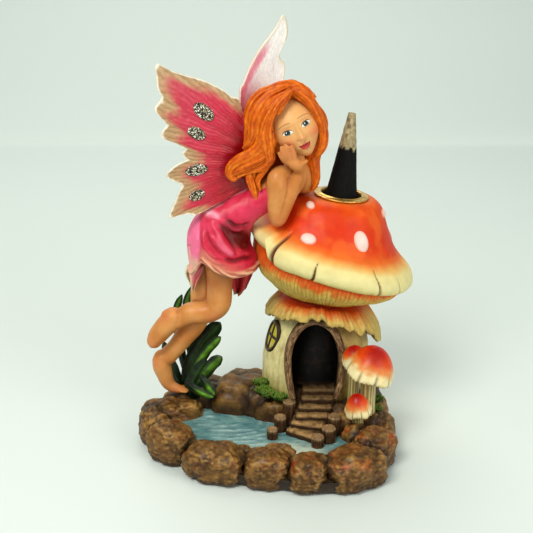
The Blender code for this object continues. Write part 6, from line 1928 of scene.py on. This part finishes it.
def build_moss():
    """Tufts of short blades round the foot of the house and between the rocks."""
    random.seed(5)
    verts, faces, tones = [], [], []
    for (x, y, z), reach, count in MOSS:
        for _ in range(count):
            turn, far = random.uniform(0, 2 * math.pi), reach * math.sqrt(random.random())
            base = np.array([x + far * math.cos(turn), y + 0.7 * far * math.sin(turn), z - 0.12 * far
                             + random.uniform(-1.2, 0.4)])
            lean = np.array([random.uniform(-1, 1), random.uniform(-1, 0.6), 1.6])
            lean *= random.uniform(1.6, 3.4) / np.linalg.norm(lean)
            side = np.cross(lean, (random.uniform(-1, 1), 1, 0.2))
            side *= random.uniform(0.22, 0.4) / np.linalg.norm(side)
            out = np.cross(side, lean)
            out *= 0.2 / (np.linalg.norm(out) + 1e-9)
            start = len(verts)
            mid = base + 0.55 * lean + out
            verts += [base - side, base + side, base + 2 * out, mid - 0.7 * side, mid + 0.7 * side,
                      mid + 1.5 * out, base + lean]
            faces += [[start + a for a in face] for face in BLADE_FACES]
            low = srgb(24, 50, 18)
            high = srgb(random.uniform(90, 150), random.uniform(140, 178), random.uniform(40, 60))
            middle = tuple(0.5 * (a + b) for a, b in zip(low, high))
            tones += [low] * 3 + [middle] * 3 + [high]
    return make_object("moss", np.array(verts), faces, np.array(tones))


def finish_plants():
    """Build, paint and place leaves, moss and the small toadstools."""
    leafy = painted_material("leaf paint", roughness=0.42, grain=1.4, uneven=0.15, bump=0.10, bump_grain=0.6,
                             coat=0.2)
    finish_piece(build_leaves(), leafy, "painted_resin", BASE)
    finish_piece(build_moss(), leafy, "painted_resin", BASE)
    glossy = painted_material("small cap paint", roughness=0.42, grain=2.5, uneven=0.08, bump=0.08,
                              bump_grain=0.9, coat=0.2)
    finish_piece(build_small_toadstools(), glossy, "painted_resin", BASE)


def finish_fairy():
    """Build, paint and place the fairy and her wings."""
    skin = painted_material("skin paint", roughness=0.42, grain=4.0, uneven=0.05, bump=0.05, bump_grain=0.8,
                            coat=0.12, subsurface=0.12)
    finish_piece(build_skin(), skin, "figure_paint", "fairy_figure")
    finish_piece(build_head(), skin, "figure_paint", "fairy_figure")
    strands = painted_material("hair paint", roughness=0.42, grain=1.2, uneven=0.14, bump=0.10,
                               bump_grain=0.5)
    finish_piece(build_hair(), strands, "figure_paint", "fairy_figure")
    cloth = painted_material("dress paint", roughness=0.4, grain=3.0, uneven=0.08, bump=0.08, bump_grain=0.8,
                             coat=0.12)
    finish_piece(build_dress(), cloth, "figure_paint", "fairy_figure")
    finish_piece(build_flaps(), cloth, "figure_paint", "fairy_figure")
    pearl = painted_material("pearl wing paint", roughness=0.34, grain=1.6, uneven=0.10, bump=0.10,
                             bump_grain=0.5, coat=0.45)
    finish_piece(build_wing("near_wing", 340, 52), pearl, "pearl_paint", "near_wing")
    finish_piece(build_wing("far_wing", 240, 40), pearl, "pearl_paint", "far_wing")
    sparkle = glitter_material()
    finish_piece(build_glitter(), sparkle, "pearl_paint", "near_wing")


def finish_burner():
    """Build, paint and place the dish and the cone."""
    gilt = painted_material("gilt", roughness=0.3, grain=1.2, uneven=0.12, bump=0.06, bump_grain=0.6,
                            metallic=0.85)
    finish_piece(build_dish(), gilt, "gilt_metal", "cone_dish")
    pressed = painted_material("incense", roughness=0.85, grain=0.6, uneven=0.2, bump=0.16, bump_grain=0.35)
    finish_piece(build_cone(), pressed, "pressed_incense", "incense_cone")


build_stage()
finish_base()
finish_house()
finish_plants()
finish_fairy()
finish_burner()
